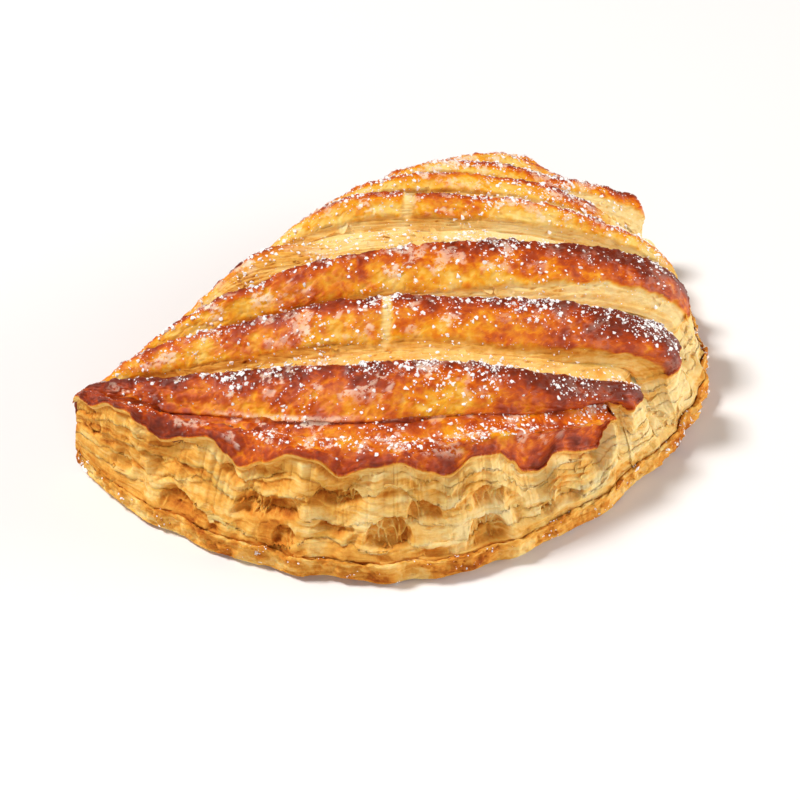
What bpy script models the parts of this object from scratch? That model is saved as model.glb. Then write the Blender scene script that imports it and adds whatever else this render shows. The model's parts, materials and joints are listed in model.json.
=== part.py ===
"""Turnover of puff pastry: a half-moon folded over its filling, with a scored, egg-washed top.

It is one solid. X runs along the fold from tip to tip, +Y points to the fold and -Y to the cut edge,
+Z is up, and the origin is under the middle of the pastry, on the surface that it lies on.
Run it with blender --background --python part.py, or from Blender's text editor.
"""

import math

import bmesh
import bpy
import numpy as np
from mathutils import Vector, noise

MM = 0.001

# The half-moon seen from above
LENGTH = 162 * MM  # its longest, a little behind the tips
WIDTH = 97 * MM  # from the line through the tips to the middle of the cut edge
TIP_TUCK = 4.5 * MM  # the tips lie this far inside the widest line
TIP_TUCK_LENGTH = 28 * MM
FOLD_BOW = 3 * MM  # how far the folded side bows out past that line
LEFT_POWER = 2.8  # the outline's fullness: 2 is an ellipse, more is squarer
RIGHT_POWER = 2.15

# The dome
CROWN_HEIGHT = 43 * MM  # the tallest ridge, near the middle of the fold
CROWN_X = 3 * MM
LEFT_TIP_HEIGHT = 25 * MM  # the top crust near the two tips
RIGHT_TIP_HEIGHT = 24 * MM
LEFT_FALL = 1.2  # how soon the dome falls away to a tip: under 1 it stays full for longer
RIGHT_FALL = 0.35
FRONT_EDGE_HEIGHT = 23.5 * MM  # the top crust over the cut side, on the left
BACK_EDGE_HEIGHT = 17.5 * MM  # the same on the right, at the ends of the ridges
EDGE_BAND = 5 * MM  # this far in from the rim the dome starts to rise
EDGE_DROP_FROM = -36 * MM  # the edge comes down between these two places
EDGE_DROP_TO = -8 * MM
DOME_REACH = 24 * MM  # how far in from the cut edge the dome does most of its rise
NOSE_SHARE = 0.36  # height of the fold's widest line, as a share of the dome's height
NOSE_DEPTH = 0.5  # how deep the rounded fold is, as a share of the dome's height
TIP_LENGTH = 12 * MM  # over this length the rounded fold passes into the blunt, leafy tip
TIP_NOSE_SHARE = 0.66  # height of the crust's corner at a tip, as a share of the dome's height

# The ridges between the score cuts: where the crest starts along the fold, in mm, where it ends on the cut
# edge, in degrees, how far it follows the bow of the front edge, from 0 to 1, the depth of the cut in front
# of it, in mm, and the share of the way that the ridge reaches. The degrees run round the outline from the
# left tip, at 0, to the right tip, at 180.
RIDGES = (
    (-76, 87, 0.9, 3.0, 1.2),
    (-75, 95, 0.42, 3.6, 1.2),
    (-68, 110, 0.13, 6.0, 1.2),
    (-62, 129, 0.03, 6.0, 1.2),
    (-39, 133, 0, 5.0, 0.14),
    (-17.5, 139, 0, 6.5, 1.2),
    (-9, 150, 0, 3.5, 0.8),
    (5, 158, 0, 4.0, 1.2),
    (30, 167, 0, 4.5, 1.2),
    (53, 174, 0, 4.0, 1.2),
)
FIRST_EDGE_DEGREES = 84.5  # where the front edge of the crust passes into the ends of the ridges
LAST_FOLD_X = 74 * MM
LAST_EDGE_DEGREES = 177
CREST_SHARE = 0.7  # a ridge's crest leans away from the front: its place between its two cuts
BACK_SLOPE_SHARE = 0.13  # behind the crest the ridge drops within this share, down to the cut's floor
RIDGE_ROUNDNESS = 2.3  # 1 is a roof, more is a loaf with steeper cuts
CUT_STARTS = (-0.03, 0.12)  # the cuts deepen between these shares of the way from the fold
CUT_ENDS = (0.86, 1.0)  # and grow shallower between these, near the cut edge
CUT_END_LOSS = 0.35  # by this share of their depth
SHORT_RIDGE_FADE = 0.16  # a short ridge fades out over this share of the way
FRONT_SPACING = 1.4  # spreads the stations evenly round the curve of the front edge

# The cut side, from the crust down to the base sheet
FRONT_LOBE_INSET = 6.5 * MM  # a ridge's end, inside the rim, towards the front
BACK_LOBE_INSET = 1.5 * MM  # the same, towards the right tip
LOBE_CHANGE = (0.2, 0.8)  # the shares across the pastry between which the one passes into the other
NOTCH_DEPTH = 5 * MM  # between two ridges' ends the crust draws back by this much
NOTCH_FADE = (0.85, 1.0)
FRONT_INSET = 8 * MM  # the crust's front edge, inside the rim
FRONT_INSET_LENGTH = 0.35  # from a tip, the front edge takes this share of the way to draw back that far
CORNER_SHARES = (0.02, 0.08)  # the front edge passes into the ridges' ends between these shares
TIP_LEDGE = 1.8 * MM  # how far the base sheet stands out at a tip
LIP_THICKNESS = 2.2 * MM
LIP_TUCK = 0.4 * MM  # the lip rounds in by this much
LIP_OVERHANG = 1.4 * MM  # and stands out over the wall by this much
# The lip hangs down in uneven teeth: share of the way along the front edge, and drop in mm
LIP_TEETH = (
    (0.0, 0.0),
    (0.11, -3.5),
    (0.155, -3.5),
    (0.225, 0.6),
    (0.27, -1.0),
    (0.33, -3.0),
    (0.39, 2.2),
    (0.44, -0.8),
    (0.5, -4.2),
    (0.59, -0.4),
    (0.64, -2.5),
    (0.7, -3.6),
    (0.79, 1.4),
    (0.83, -1.6),
    (0.885, -0.6),
    (0.935, 5.8),
    (0.962, 2.2),
    (1.0, 4.2),
)
LIP_BAND = 0.06  # the teeth bend this share of the crust, behind the lip
LEAF_COUNT = 4  # the thick, wavy leaves that stand out of the cut side
LEAF_DEPTH = 1.2 * MM
LEAF_RIPPLE = 0.75 * MM  # how far a leaf's edge wanders in and out
LEAF_WAVE = 0.5  # and up and down, as a share of a leaf's height
WALL_RECESS = 0.5 * MM  # the wall starts this far behind the lip
RIM_TOP = 6.0 * MM  # the base sheet's edge stands out as a ledge
RIM_LIFT = 0.9 * MM  # the ledge curls clear of the surface
LEDGE_WIDTH = 2.2 * MM
RIM_ROUNDING = 1.1 * MM
RIM_WANDER = 0.7 * MM  # how far the base sheet's edge wanders in and out
RIM_WANDER_START = 12  # degrees from a tip at which it does so in full
BASE_INSET = 7 * MM  # the flat underside starts this far inside the rim
TAB_DEGREES = 117  # a corner of the base sheet sticks out here
TAB_HALF_WIDTH = 3.0  # in degrees
TAB_REACH = 2.0 * MM
FOCUS = (0, -0.35 * WIDTH)  # "inward" on the cut side is towards this point

# Mesh
RIDGE_BENDS = (0, 0.14, 0.4, CREST_SHARE, CREST_SHARE + BACK_SLOPE_SHARE, 1)  # a row of vertices at each
SEGMENTS_PER_RIDGE = len(RIDGE_BENDS) - 1
SEGMENTS_ALONG = 40
CRUST_GRAIN = 0.5 * MM  # uneven puffing of the crust
CRUST_GRAIN_SIZE = 9 * MM

CRUST_COLOUR = (0.62, 0.27, 0.06, 1.0)
CRUST_ROUGHNESS = 0.45


def clear_scene():
    for obj in list(bpy.data.objects):
        bpy.data.objects.remove(obj, do_unlink=True)


def smoothstep(low, high, value):
    share = min(1.0, max(0.0, (value - low) / (high - low)))
    return share * share * (3 - 2 * share)


def outline(degrees, inset=0.0):
    """A point of the cut edge, from the left tip at 0 degrees to the right tip at 180; y is 0 at the tips."""
    angle = math.radians(degrees)
    power = LEFT_POWER if degrees < 90 else RIGHT_POWER
    x = (LENGTH / 2 - inset) * abs(math.cos(angle)) ** (2 / power)
    y = (WIDTH - inset) * abs(math.sin(angle)) ** (2 / power)
    x -= TIP_TUCK * max(0.0, 1 - y / TIP_TUCK_LENGTH) ** 2
    return Vector((-math.copysign(x, math.cos(angle)), -y))


def fold_line(x):
    """The widest line of the folded side."""
    return Vector((x, FOLD_BOW * (1 - (2 * x / LENGTH) ** 2)))


def wander(degrees, period, phase):
    """A slow uneven wave round the pastry, from -1 to 1."""
    turn = degrees / period
    return 0.6 * math.sin(2 * math.pi * turn + phase) + 0.4 * math.sin(
        2 * math.pi * 1.7 * turn + 2.3 * phase
    )


def ridge_at(s):
    """Which ridge the share s across the pastry is on, and the place on it from its near cut to its far one."""
    place = min(s, 1 - 1e-6) * len(RIDGES)
    return int(place), place - int(place)


def ridge_shape(place):
    """A ridge's height between its cuts, from 0 to 1: a long slope to the front and a steep one behind."""
    span = CREST_SHARE if place < CREST_SHARE else BACK_SLOPE_SHARE
    return 1 - min(1.0, abs((place - CREST_SHARE) / span)) ** RIDGE_ROUNDNESS


def crest_shares():
    return [(i + CREST_SHARE) / len(RIDGES) for i in range(len(RIDGES))]


def fold_end(s):
    """Where the line at share s meets the fold."""
    starts = [outline(0).x, *(ridge[0] * MM for ridge in RIDGES), LAST_FOLD_X]
    return float(np.interp(s, [0, *crest_shares(), 1], starts))


def edge_end(s):
    """The degrees at which the line at share s meets the cut edge."""
    ends = [FIRST_EDGE_DEGREES, *(ridge[1] for ridge in RIDGES), LAST_EDGE_DEGREES]
    return float(np.interp(s, [0, *crest_shares(), 1], ends))


def edge_inset(s):
    """How far inside the rim the crust ends. Ridges end in lobes, with notches between them."""
    _, place = ridge_at(s)
    lobe = FRONT_LOBE_INSET + (BACK_LOBE_INSET - FRONT_LOBE_INSET) * smoothstep(*LOBE_CHANGE, s)
    notched = lobe + NOTCH_DEPTH * (1 - ridge_shape(place)) * (1 - smoothstep(*NOTCH_FADE, s))
    return FRONT_INSET + (notched - FRONT_INSET) * smoothstep(*CORNER_SHARES, s)


def front_degrees(t):
    return FIRST_EDGE_DEGREES * t**FRONT_SPACING


def lip_drop(t):
    """How far the crust's front edge hangs down, at share t of the way along it."""
    shares, drops = zip(*LIP_TEETH)
    return float(np.interp(t, shares, drops)) * MM


def bow(s):
    """How closely the line at share s follows the curve of the front edge."""
    shares = [1, *(ridge[2] for ridge in RIDGES), 0]
    return float(np.interp(s, [0, *crest_shares(), 1], shares))


def plan_point(s, t):
    """The crust seen from above: s crosses the ridges from the front, t runs along them from the fold."""
    start = fold_line(fold_end(s))
    end = outline(edge_end(s), edge_inset(s))
    front_inset = TIP_LEDGE + (FRONT_INSET - TIP_LEDGE) * smoothstep(0, FRONT_INSET_LENGTH, t)
    front = outline(front_degrees(t), front_inset)
    front_start = fold_line(outline(0).x)
    chord = front_start.lerp(outline(FIRST_EDGE_DEGREES, FRONT_INSET), t)
    return start.lerp(end, t) + (front - chord) * bow(s)


def distance_to_cut_edge(point):
    power = LEFT_POWER if point.x < 0 else RIGHT_POWER
    share = (
        abs(2 * point.x / LENGTH) ** power + abs(min(point.y, 0) / WIDTH) ** power
    ) ** (1 / power)
    return point.length * (1 / max(share, 1e-3) - 1)


def dome_height(point):
    """The height of the ridges' crests over a point, before the fold rounds it off."""
    if point.x < CROWN_X:
        tip_height, fall, side = LEFT_TIP_HEIGHT, LEFT_FALL, LENGTH / 2 + CROWN_X
    else:
        tip_height, fall, side = RIGHT_TIP_HEIGHT, RIGHT_FALL, LENGTH / 2 - CROWN_X
    share = min(1.0, abs(point.x - CROWN_X) / side)
    spine = tip_height + (CROWN_HEIGHT - tip_height) * (1 - share**2) ** fall
    drop = smoothstep(EDGE_DROP_FROM, EDGE_DROP_TO, point.x)
    edge = FRONT_EDGE_HEIGHT + (BACK_EDGE_HEIGHT - FRONT_EDGE_HEIGHT) * drop
    inside = max(0.0, distance_to_cut_edge(point) - EDGE_BAND)
    return spine + (edge - spine) * math.exp(-inside / DOME_REACH)


def tip_share(x):
    """0 along the fold, rising to 1 at the blunt tips."""
    tip = LENGTH / 2 - TIP_TUCK
    return smoothstep(tip - TIP_LENGTH, tip - 0.2 * TIP_LENGTH, abs(x))


def crust_point(s, t):
    """The top crust, with its ridges."""
    flat = plan_point(s, t)
    top = dome_height(flat)
    ridge, place = ridge_at(s)
    _, _, _, depth, reach = RIDGES[ridge]
    ends = smoothstep(*CUT_STARTS, t) * (1 - CUT_END_LOSS * smoothstep(*CUT_ENDS, t))
    fading = 1 - smoothstep(reach, reach + SHORT_RIDGE_FADE, t)
    height = top - depth * MM * ends * (1 - ridge_shape(place) * fading)
    from_fold = max(0.0, fold_line(flat.x).y - flat.y)
    nose = min(1.0, from_fold / (NOSE_DEPTH * top))
    nose_height = top * (NOSE_SHARE + (TIP_NOSE_SHARE - NOSE_SHARE) * tip_share(flat.x))
    height = nose_height + (height - nose_height) * math.sqrt(1 - (1 - nose) ** 2)
    grain = noise.noise(Vector((flat.x, flat.y, height)) / CRUST_GRAIN_SIZE)
    tooth = lip_drop(t) * (1 - smoothstep(0, LIP_BAND, s))
    return Vector((flat.x, flat.y, height + CRUST_GRAIN * grain - tooth))


def rim_point(degrees):
    """The edge of the base sheet, uneven, with one corner that sticks out."""
    tab = TAB_REACH * math.exp(-(((degrees - TAB_DEGREES) / TAB_HALF_WIDTH) ** 2))
    from_tip = min(degrees, 180 - degrees)
    uneven = RIM_WANDER * wander(degrees, 13, 1.1) * smoothstep(0, RIM_WANDER_START, from_tip)
    return outline(degrees, uneven - tab)


def leaf_stations(crust, inward, gap, degrees):
    """Points down the wall between the lip and the ledge: the edges of the leaves and the gaps between them."""
    wall_top = crust.z - LIP_THICKNESS
    count = 2 * LEAF_COUNT
    stations = []
    for step in range(count):
        share = (step + 1) / (count + 1)
        leaf, is_edge = step // 2, step % 2
        wave = wander(degrees, 11 + 3 * leaf, 0.9 * step) * LEAF_WAVE / LEAF_COUNT
        level = share + wave * math.sin(math.pi * share)
        outward = max(0.0, gap - LEDGE_WIDTH) * share - WALL_RECESS + LEAF_DEPTH * is_edge
        outward += LEAF_RIPPLE * wander(degrees, 7, 2.1 * step) * smoothstep(0, FRONT_INSET, gap)
        stations.append((crust.xy - inward * outward, wall_top + (RIM_TOP - wall_top) * level))
    return stations


def cut_side_profile(crust, rim, degrees):
    """Points from under the crust's lip down the leafy cut side, round the base sheet's ledge and under it."""
    inward = (Vector(FOCUS) - rim).normalized()
    gap = (rim - crust.xy).length
    lift = RIM_LIFT * (1 + 0.5 * wander(degrees, 31, 0.2))
    return [
        (crust.xy + inward * LIP_TUCK, crust.z - LIP_THICKNESS / 2),
        (crust.xy + inward * LIP_OVERHANG, crust.z - LIP_THICKNESS),
        *leaf_stations(crust, inward, gap, degrees),
        (rim + inward * LEDGE_WIDTH, RIM_TOP),
        (rim + inward * RIM_ROUNDING, RIM_TOP),
        (rim, (RIM_TOP + lift) / 2),
        (rim + inward * RIM_ROUNDING, lift),
        (rim + inward * BASE_INSET, 0.0),
    ]


def folded_side_profile(crust, count):
    """Points from the fold's widest line down its rounded lower half and under it."""
    inward = Vector((-0.25 * crust.x / LENGTH, -1)).normalized()
    stations = []
    for step in range(1, count + 1):
        turn = 0.5 * math.pi * step / count
        outward = BASE_INSET * (1 - math.cos(turn))
        stations.append((crust.xy + inward * outward, crust.z * (1 - math.sin(turn))))
    return stations


def side_profile(crust, s, t):
    """The profile below a point of the crust's border: rounded at the fold, leafy at the tips and the cut."""
    if t <= 0:
        degrees = 0.0 if crust.x < 0 else 180.0
        corner = outline(degrees)
        outward = (corner - Vector(FOCUS)).normalized()
        leafy = tip_share(crust.x)
        rim = crust.xy + outward * TIP_LEDGE
    else:
        degrees = front_degrees(t) if s <= 0 else edge_end(s)
        if s >= 1:
            degrees = 180 + (LAST_EDGE_DEGREES - 180) * t
        leafy = 1.0
        rim = rim_point(degrees)
    cut = cut_side_profile(crust, rim, degrees)
    fold = folded_side_profile(crust, len(cut))
    return [
        Vector((*fold_flat.lerp(cut_flat, leafy), fold_z + (cut_z - fold_z) * leafy))
        for (fold_flat, fold_z), (cut_flat, cut_z) in zip(fold, cut)
    ]


def warp_ridge_samples(share):
    """Moves evenly spaced samples across the ridges to where the ridge's form bends."""
    stops = np.linspace(0, 1, SEGMENTS_PER_RIDGE + 1)
    place = share * len(RIDGES)
    whole = min(int(place + 1e-6), len(RIDGES))
    return (whole + float(np.interp(place - whole, stops, RIDGE_BENDS))) / len(RIDGES)


def build_turnover():
    shape = bmesh.new()
    share_across = shape.verts.layers.float.new("share_across")
    share_along = shape.verts.layers.float.new("share_along")
    bmesh.ops.create_grid(
        shape,
        x_segments=SEGMENTS_PER_RIDGE * len(RIDGES),
        y_segments=SEGMENTS_ALONG,
        size=0.5,
    )
    for vert in shape.verts:
        vert[share_across] = warp_ridge_samples(vert.co.x + 0.5)
        vert[share_along] = vert.co.y + 0.5
        vert.co = crust_point(vert[share_across], vert[share_along])
    border = [edge for edge in shape.edges if edge.is_boundary]
    profiles = {}
    for vert in {vert for edge in border for vert in edge.verts}:
        key = (vert[share_across], vert[share_along])
        profiles[key] = side_profile(vert.co.copy(), *key)
    station_count = len(next(iter(profiles.values())))
    for station in range(station_count):
        extruded = bmesh.ops.extrude_edge_only(shape, edges=border)["geom"]
        border = [item for item in extruded if isinstance(item, bmesh.types.BMEdge)]
        for vert in (item for item in extruded if isinstance(item, bmesh.types.BMVert)):
            vert.co = profiles[vert[share_across], vert[share_along]][station]
    bmesh.ops.contextual_create(shape, geom=border)
    bmesh.ops.recalc_face_normals(shape, faces=shape.faces)
    mesh = bpy.data.meshes.new("turnover")
    shape.to_mesh(mesh)
    shape.free()
    return mesh


def centre_on_origin(mesh):
    """Puts the middle of the bounding box's underside at the origin."""
    corners = np.array([vert.co for vert in mesh.vertices])
    low, high = corners.min(axis=0), corners.max(axis=0)
    middle = Vector(((low[0] + high[0]) / 2, (low[1] + high[1]) / 2, low[2]))
    for vert in mesh.vertices:
        vert.co -= middle


def crust_material():
    material = bpy.data.materials.new("baked_puff_pastry")
    material.use_nodes = True
    surface = material.node_tree.nodes["Principled BSDF"]
    surface.inputs["Base Color"].default_value = CRUST_COLOUR
    surface.inputs["Roughness"].default_value = CRUST_ROUGHNESS
    surface.inputs["Metallic"].default_value = 0.0
    return material


def main():
    clear_scene()
    mesh = build_turnover()
    centre_on_origin(mesh)
    mesh.materials.append(crust_material())
    mesh.shade_smooth()
    turnover = bpy.data.objects.new("turnover", mesh)
    bpy.context.scene.collection.objects.link(turnover)


main()
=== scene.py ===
import json
import math

import bmesh
import bpy
import numpy as np
from bpy.props import FloatProperty, FloatVectorProperty, IntProperty, PointerProperty
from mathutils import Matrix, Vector

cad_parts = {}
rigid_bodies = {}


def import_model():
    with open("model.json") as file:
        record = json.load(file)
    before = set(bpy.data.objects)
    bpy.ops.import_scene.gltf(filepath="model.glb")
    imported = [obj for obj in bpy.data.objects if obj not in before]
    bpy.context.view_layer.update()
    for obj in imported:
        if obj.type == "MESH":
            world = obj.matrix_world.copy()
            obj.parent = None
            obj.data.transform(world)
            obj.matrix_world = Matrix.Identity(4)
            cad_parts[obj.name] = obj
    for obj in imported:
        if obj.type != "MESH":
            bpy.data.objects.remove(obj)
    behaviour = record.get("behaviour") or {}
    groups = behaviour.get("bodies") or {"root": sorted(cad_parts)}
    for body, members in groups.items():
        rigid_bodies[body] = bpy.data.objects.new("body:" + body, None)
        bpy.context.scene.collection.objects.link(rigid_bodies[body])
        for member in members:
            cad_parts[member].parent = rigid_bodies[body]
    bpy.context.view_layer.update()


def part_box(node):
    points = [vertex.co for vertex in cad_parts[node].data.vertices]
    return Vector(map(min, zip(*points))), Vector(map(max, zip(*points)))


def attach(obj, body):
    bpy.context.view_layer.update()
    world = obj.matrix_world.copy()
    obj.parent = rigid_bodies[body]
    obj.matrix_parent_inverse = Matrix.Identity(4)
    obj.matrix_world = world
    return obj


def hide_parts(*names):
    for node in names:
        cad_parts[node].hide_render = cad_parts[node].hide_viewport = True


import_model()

bl_info = {
    "name": "Baked turnover",
    "version": (1, 0, 0),
    "blender": (4, 5, 0),
    "location": "3D View > Sidebar > Turnover",
    "description": "Bakes the looks of a puff pastry turnover around its packed shape",
    "category": "Add Mesh",
}

MM = 0.001
NODE = "turnover"
CAD_LOW, CAD_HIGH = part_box(NODE)
CLEARANCE = 0.05 * MM

# The pastry's main form, as in the part
LENGTH = 162 * MM
WIDTH = 97 * MM
TIP_TUCK = 4.5 * MM
TIP_TUCK_LENGTH = 28 * MM
FOLD_BOW = 3 * MM
LEFT_POWER = 2.8
RIGHT_POWER = 2.15
CROWN_HEIGHT = 43 * MM
CROWN_X = 3 * MM
LEFT_TIP_HEIGHT = 25 * MM
RIGHT_TIP_HEIGHT = 24 * MM
LEFT_FALL = 1.2
RIGHT_FALL = 0.35
FRONT_EDGE_HEIGHT = 23.5 * MM
BACK_EDGE_HEIGHT = 17.5 * MM
EDGE_BAND = 5 * MM
EDGE_DROP_FROM = -36 * MM
EDGE_DROP_TO = -8 * MM
DOME_REACH = 24 * MM
NOSE_SHARE = 0.36
NOSE_DEPTH = 0.5
TIP_LENGTH = 12 * MM
TIP_NOSE_SHARE = 0.66
MIDDLE = (0.63 * MM, 47.25 * MM, 0.0)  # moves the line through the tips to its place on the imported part

# The ridges: crest on the fold in mm, crest on the cut edge in degrees, bow, depth in mm of the cut in front
# of it, the share of the way it reaches, and the share of its front slope that is pale, unglazed cut face
RIDGES = (
    (-76, 87, 0.9, 3.0, 1.2, 0.0),
    (-75, 95, 0.42, 3.6, 1.2, 0.0),
    (-68, 110, 0.13, 6.0, 1.2, 0.17),
    (-62, 129, 0.03, 6.0, 1.2, 0.10),
    (-39, 133, 0, 5.0, 0.14, 0.4),
    (-17.5, 139, 0, 6.5, 1.2, 0.18),
    (-9, 150, 0, 3.5, 0.8, 0.16),
    (5, 158, 0, 4.0, 1.2, 0.2),
    (30, 167, 0, 4.5, 1.2, 0.25),
    (53, 174, 0, 4.0, 1.2, 0.25),
)
RIDGE = np.array(RIDGES)
FIRST_EDGE_DEGREES = 84.5
LAST_FOLD_X = 74 * MM
LAST_EDGE_DEGREES = 177
CREST_SHARE = 0.7
BACK_SLOPE_SHARE = 0.13
SHORT_RIDGE_FADE = 0.16
RIDGE_ROUNDNESS = 2.3
FRONT_SPACING = 1.4
FRONT_LOBE_INSET = 6.5 * MM
BACK_LOBE_INSET = 1.5 * MM
NOTCH_DEPTH = 5 * MM
FRONT_INSET = 8 * MM
TIP_LEDGE = 1.8 * MM
LIP_THICKNESS = 1.5 * MM
RIM_TOP = 5.4 * MM
RIM_LIFT = 0.9 * MM
BASE_INSET = 7 * MM
TAB_DEGREES = 117
TAB_REACH = 1.2 * MM
UNDERSIDE_Z = 0.25 * MM
UNDERSIDE_THICKNESS = 2.5 * MM
FOLD_WRAP = 0.12  # the part of the crust's grid that goes under the fold, as a share of its length
RIDGE_SHARES = [0, *((np.arange(len(RIDGES)) + CREST_SHARE) / len(RIDGES)), 1]

# The lip over the cut side hangs down in uneven teeth: share of the way along the front edge, and drop in mm
LIP_TEETH = (
    (0.0, 0.0),
    (0.05, 1.0),
    (0.11, -3.5),
    (0.155, -3.5),
    (0.19, -1.5),
    (0.225, 0.6),
    (0.27, -1.0),
    (0.33, -3.0),
    (0.365, 0.0),
    (0.39, 2.2),
    (0.44, -0.8),
    (0.50, -4.2),
    (0.545, -3.8),
    (0.59, -0.4),
    (0.64, -2.5),
    (0.70, -3.6),
    (0.75, -0.6),
    (0.79, 1.4),
    (0.83, -1.6),
    (0.88, -0.4),
    (0.90, 2.2),
    (0.918, 6.0),
    (0.934, 7.0),
    (0.95, 3.0),
    (0.975, 4.6),
    (1.0, 5.4),
)

# The ridges' ends at the cut edge: how far each one stands up and out, in mm
END_LIFT = np.array((0.0, 1.2, 2.6, 3.0, 0.0, 1.2, -0.4, 3.4, -1.4, -2.0))
END_REACH = np.array((0.0, 0.6, 0.5, 0.0, 0.0, -1.6, -0.5, 0.8, -1.0, -1.0))
END_PALE = np.array((0.0, 0.0, 0.20, 0.24, 0.4, 0.24, 0.22, 0.24, 0.25, 0.25))
END_CORNER = np.array((0.0, 1.0, 3.0, 1.2, 0.0, 0.6, 0.0, 0.0, 0.0, 0.0))
END_ROUND_FROM = 0.962
END_ROUND_DROP = 2.6 * MM
LAST_LOBE_SHIFT = np.array((6.0, -2.6)) * MM

# Pale veins across the glaze: ridge, place along it and half width, as shares of its length
VEINS = ((2, 0.514, 0.008), (5, 0.375, 0.013))

# The crust's fine relief in mm: glazed shell first, then the pale cut faces, then both
RIPPLE_HEIGHT = 0.40
PEBBLE_HEIGHT = 0.16
SEAM_DEPTH = 0.16
BLISTER_HEIGHT = 0.30
SHELL_THICKNESS = 0.45
SLAB_EDGE_HEIGHT = 0.22
CREST_RAGGEDNESS = 0.55
FROST_HEIGHT = 0.10
GROOVE_DEPTH = 0.22
PORE_DEPTH = 0.30
LAYER_HEIGHT = 0.38
CRUMB_RIPPLE = 0.30
LUMP_HEIGHT = 0.72
SLIT_DEPTH = 0.5
CRUST_SINK = 0.35 * MM


# Numbers that vary smoothly over the pastry


def smoothstep(low, high, value):
    """0 up to low, 1 from high on, and a smooth rise between."""
    share = np.clip((value - low) / (high - low), 0, 1)
    return share * share * (3 - 2 * share)


def hashed(cell, seed):
    """A number from 0 to 1 for each whole-numbered cell of an (..., 3) array."""
    cell = cell.astype(np.int64)
    mixed = cell[..., 0] * 374761393 + cell[..., 1] * 668265263 + cell[..., 2] * 1440662683 + seed * 974711
    mixed = (mixed ^ (mixed >> 13)) * 1274126177 & 0x7FFFFFFFFFFF
    mixed = (mixed ^ (mixed >> 16)) * 668265263 & 0x7FFFFFFFFFFF
    return (mixed >> 8 & 0xFFFFF) / 0xFFFFF


def value_noise(points, seed):
    """Smooth random values from -1 to 1, changing over a distance of about 1."""
    base = np.floor(points)
    part = points - base
    part = part * part * part * (part * (part * 6 - 15) + 10)
    total = np.zeros(points.shape[:-1])
    for dx in (0, 1):
        for dy in (0, 1):
            for dz in (0, 1):
                weight = (
                    (part[..., 0] if dx else 1 - part[..., 0])
                    * (part[..., 1] if dy else 1 - part[..., 1])
                    * (part[..., 2] if dz else 1 - part[..., 2])
                )
                total += weight * hashed(base + np.array([dx, dy, dz]), seed)
    return 2 * total - 1


def fractal(points, seed, octaves=4, gain=0.5):
    """Smooth random values from -1 to 1, with finer and fainter ones added."""
    total, amount, reach = 0.0, 1.0, 0.0
    for octave in range(octaves):
        total = total + amount * value_noise(points * 2.03**octave + 17.3 * octave, seed + octave)
        reach += amount
        amount *= gain
    return total / reach


def cell_distances(points, seed):
    """Distances to the two nearest of random points, one to a cell, and the nearest one's own number."""
    base = np.floor(points)
    first = np.full(points.shape[:-1], 9.0)
    second = first.copy()
    own = np.zeros(points.shape[:-1])
    for dx in (-1, 0, 1):
        for dy in (-1, 0, 1):
            for dz in (-1, 0, 1):
                cell = base + np.array([dx, dy, dz])
                spot = np.stack([hashed(cell, seed + axis) for axis in range(3)], axis=-1)
                away = np.linalg.norm(cell + spot - points, axis=-1)
                own = np.where(away < first, hashed(cell, seed + 5), own)
                second = np.minimum(second, np.maximum(first, away))
                first = np.minimum(first, away)
    return first, second, own


def stack(*parts):
    return np.stack(np.broadcast_arrays(*parts), axis=-1).astype(float)


# The main form


def outline(degrees, inset=0.0):
    """Points on the plan's outline, by the angle from the left tip round the cut edge."""
    angle = np.radians(degrees)
    power = np.where(degrees < 90, LEFT_POWER, RIGHT_POWER)
    x = (LENGTH / 2 - inset) * np.abs(np.cos(angle)) ** (2 / power)
    y = (WIDTH - inset) * np.abs(np.sin(angle)) ** (2 / power)
    x = x - TIP_TUCK * np.maximum(0.0, 1 - y / TIP_TUCK_LENGTH) ** 2
    return stack(-np.copysign(x, np.cos(angle)), -y)


def fold_line_y(x):
    return FOLD_BOW * (1 - (2 * x / LENGTH) ** 2)


def wander(degrees, period, phase):
    """A slow, uneven wave round the cut edge, from -1 to 1."""
    turn = degrees / period
    return 0.6 * np.sin(2 * np.pi * turn + phase) + 0.4 * np.sin(2 * np.pi * 1.7 * turn + 2.3 * phase)


def ridge_at(s):
    """The number of the ridge at s, and the share of the way across it."""
    place = np.minimum(s, 1 - 1e-6) * len(RIDGES)
    return place.astype(int), place - place.astype(int)


def ridge_shape(place):
    """A ridge's height across it, from 0 in the cuts to 1 at its crest."""
    span = np.where(place < CREST_SHARE, CREST_SHARE, BACK_SLOPE_SHARE)
    return 1 - np.minimum(1.0, np.abs((place - CREST_SHARE) / span)) ** RIDGE_ROUNDNESS


def along_ridges(s, first, column, last):
    """A value for each place across the ridges, from one column of their table."""
    return np.interp(s, RIDGE_SHARES, [first, *column, last])


def edge_end(s):
    return along_ridges(s, FIRST_EDGE_DEGREES, RIDGE[:, 1], LAST_EDGE_DEGREES)


def front_degrees(t):
    return FIRST_EDGE_DEGREES * np.maximum(t, 0) ** FRONT_SPACING


def edge_inset(s):
    _, place = ridge_at(s)
    lobe = FRONT_LOBE_INSET + (BACK_LOBE_INSET - FRONT_LOBE_INSET) * smoothstep(0.2, 0.8, s)
    notched = lobe + NOTCH_DEPTH * (1 - ridge_shape(place) ** 0.45) * (1 - smoothstep(0.85, 1, s))
    return FRONT_INSET + (notched - FRONT_INSET) * smoothstep(0.02, 0.08, s)


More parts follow.
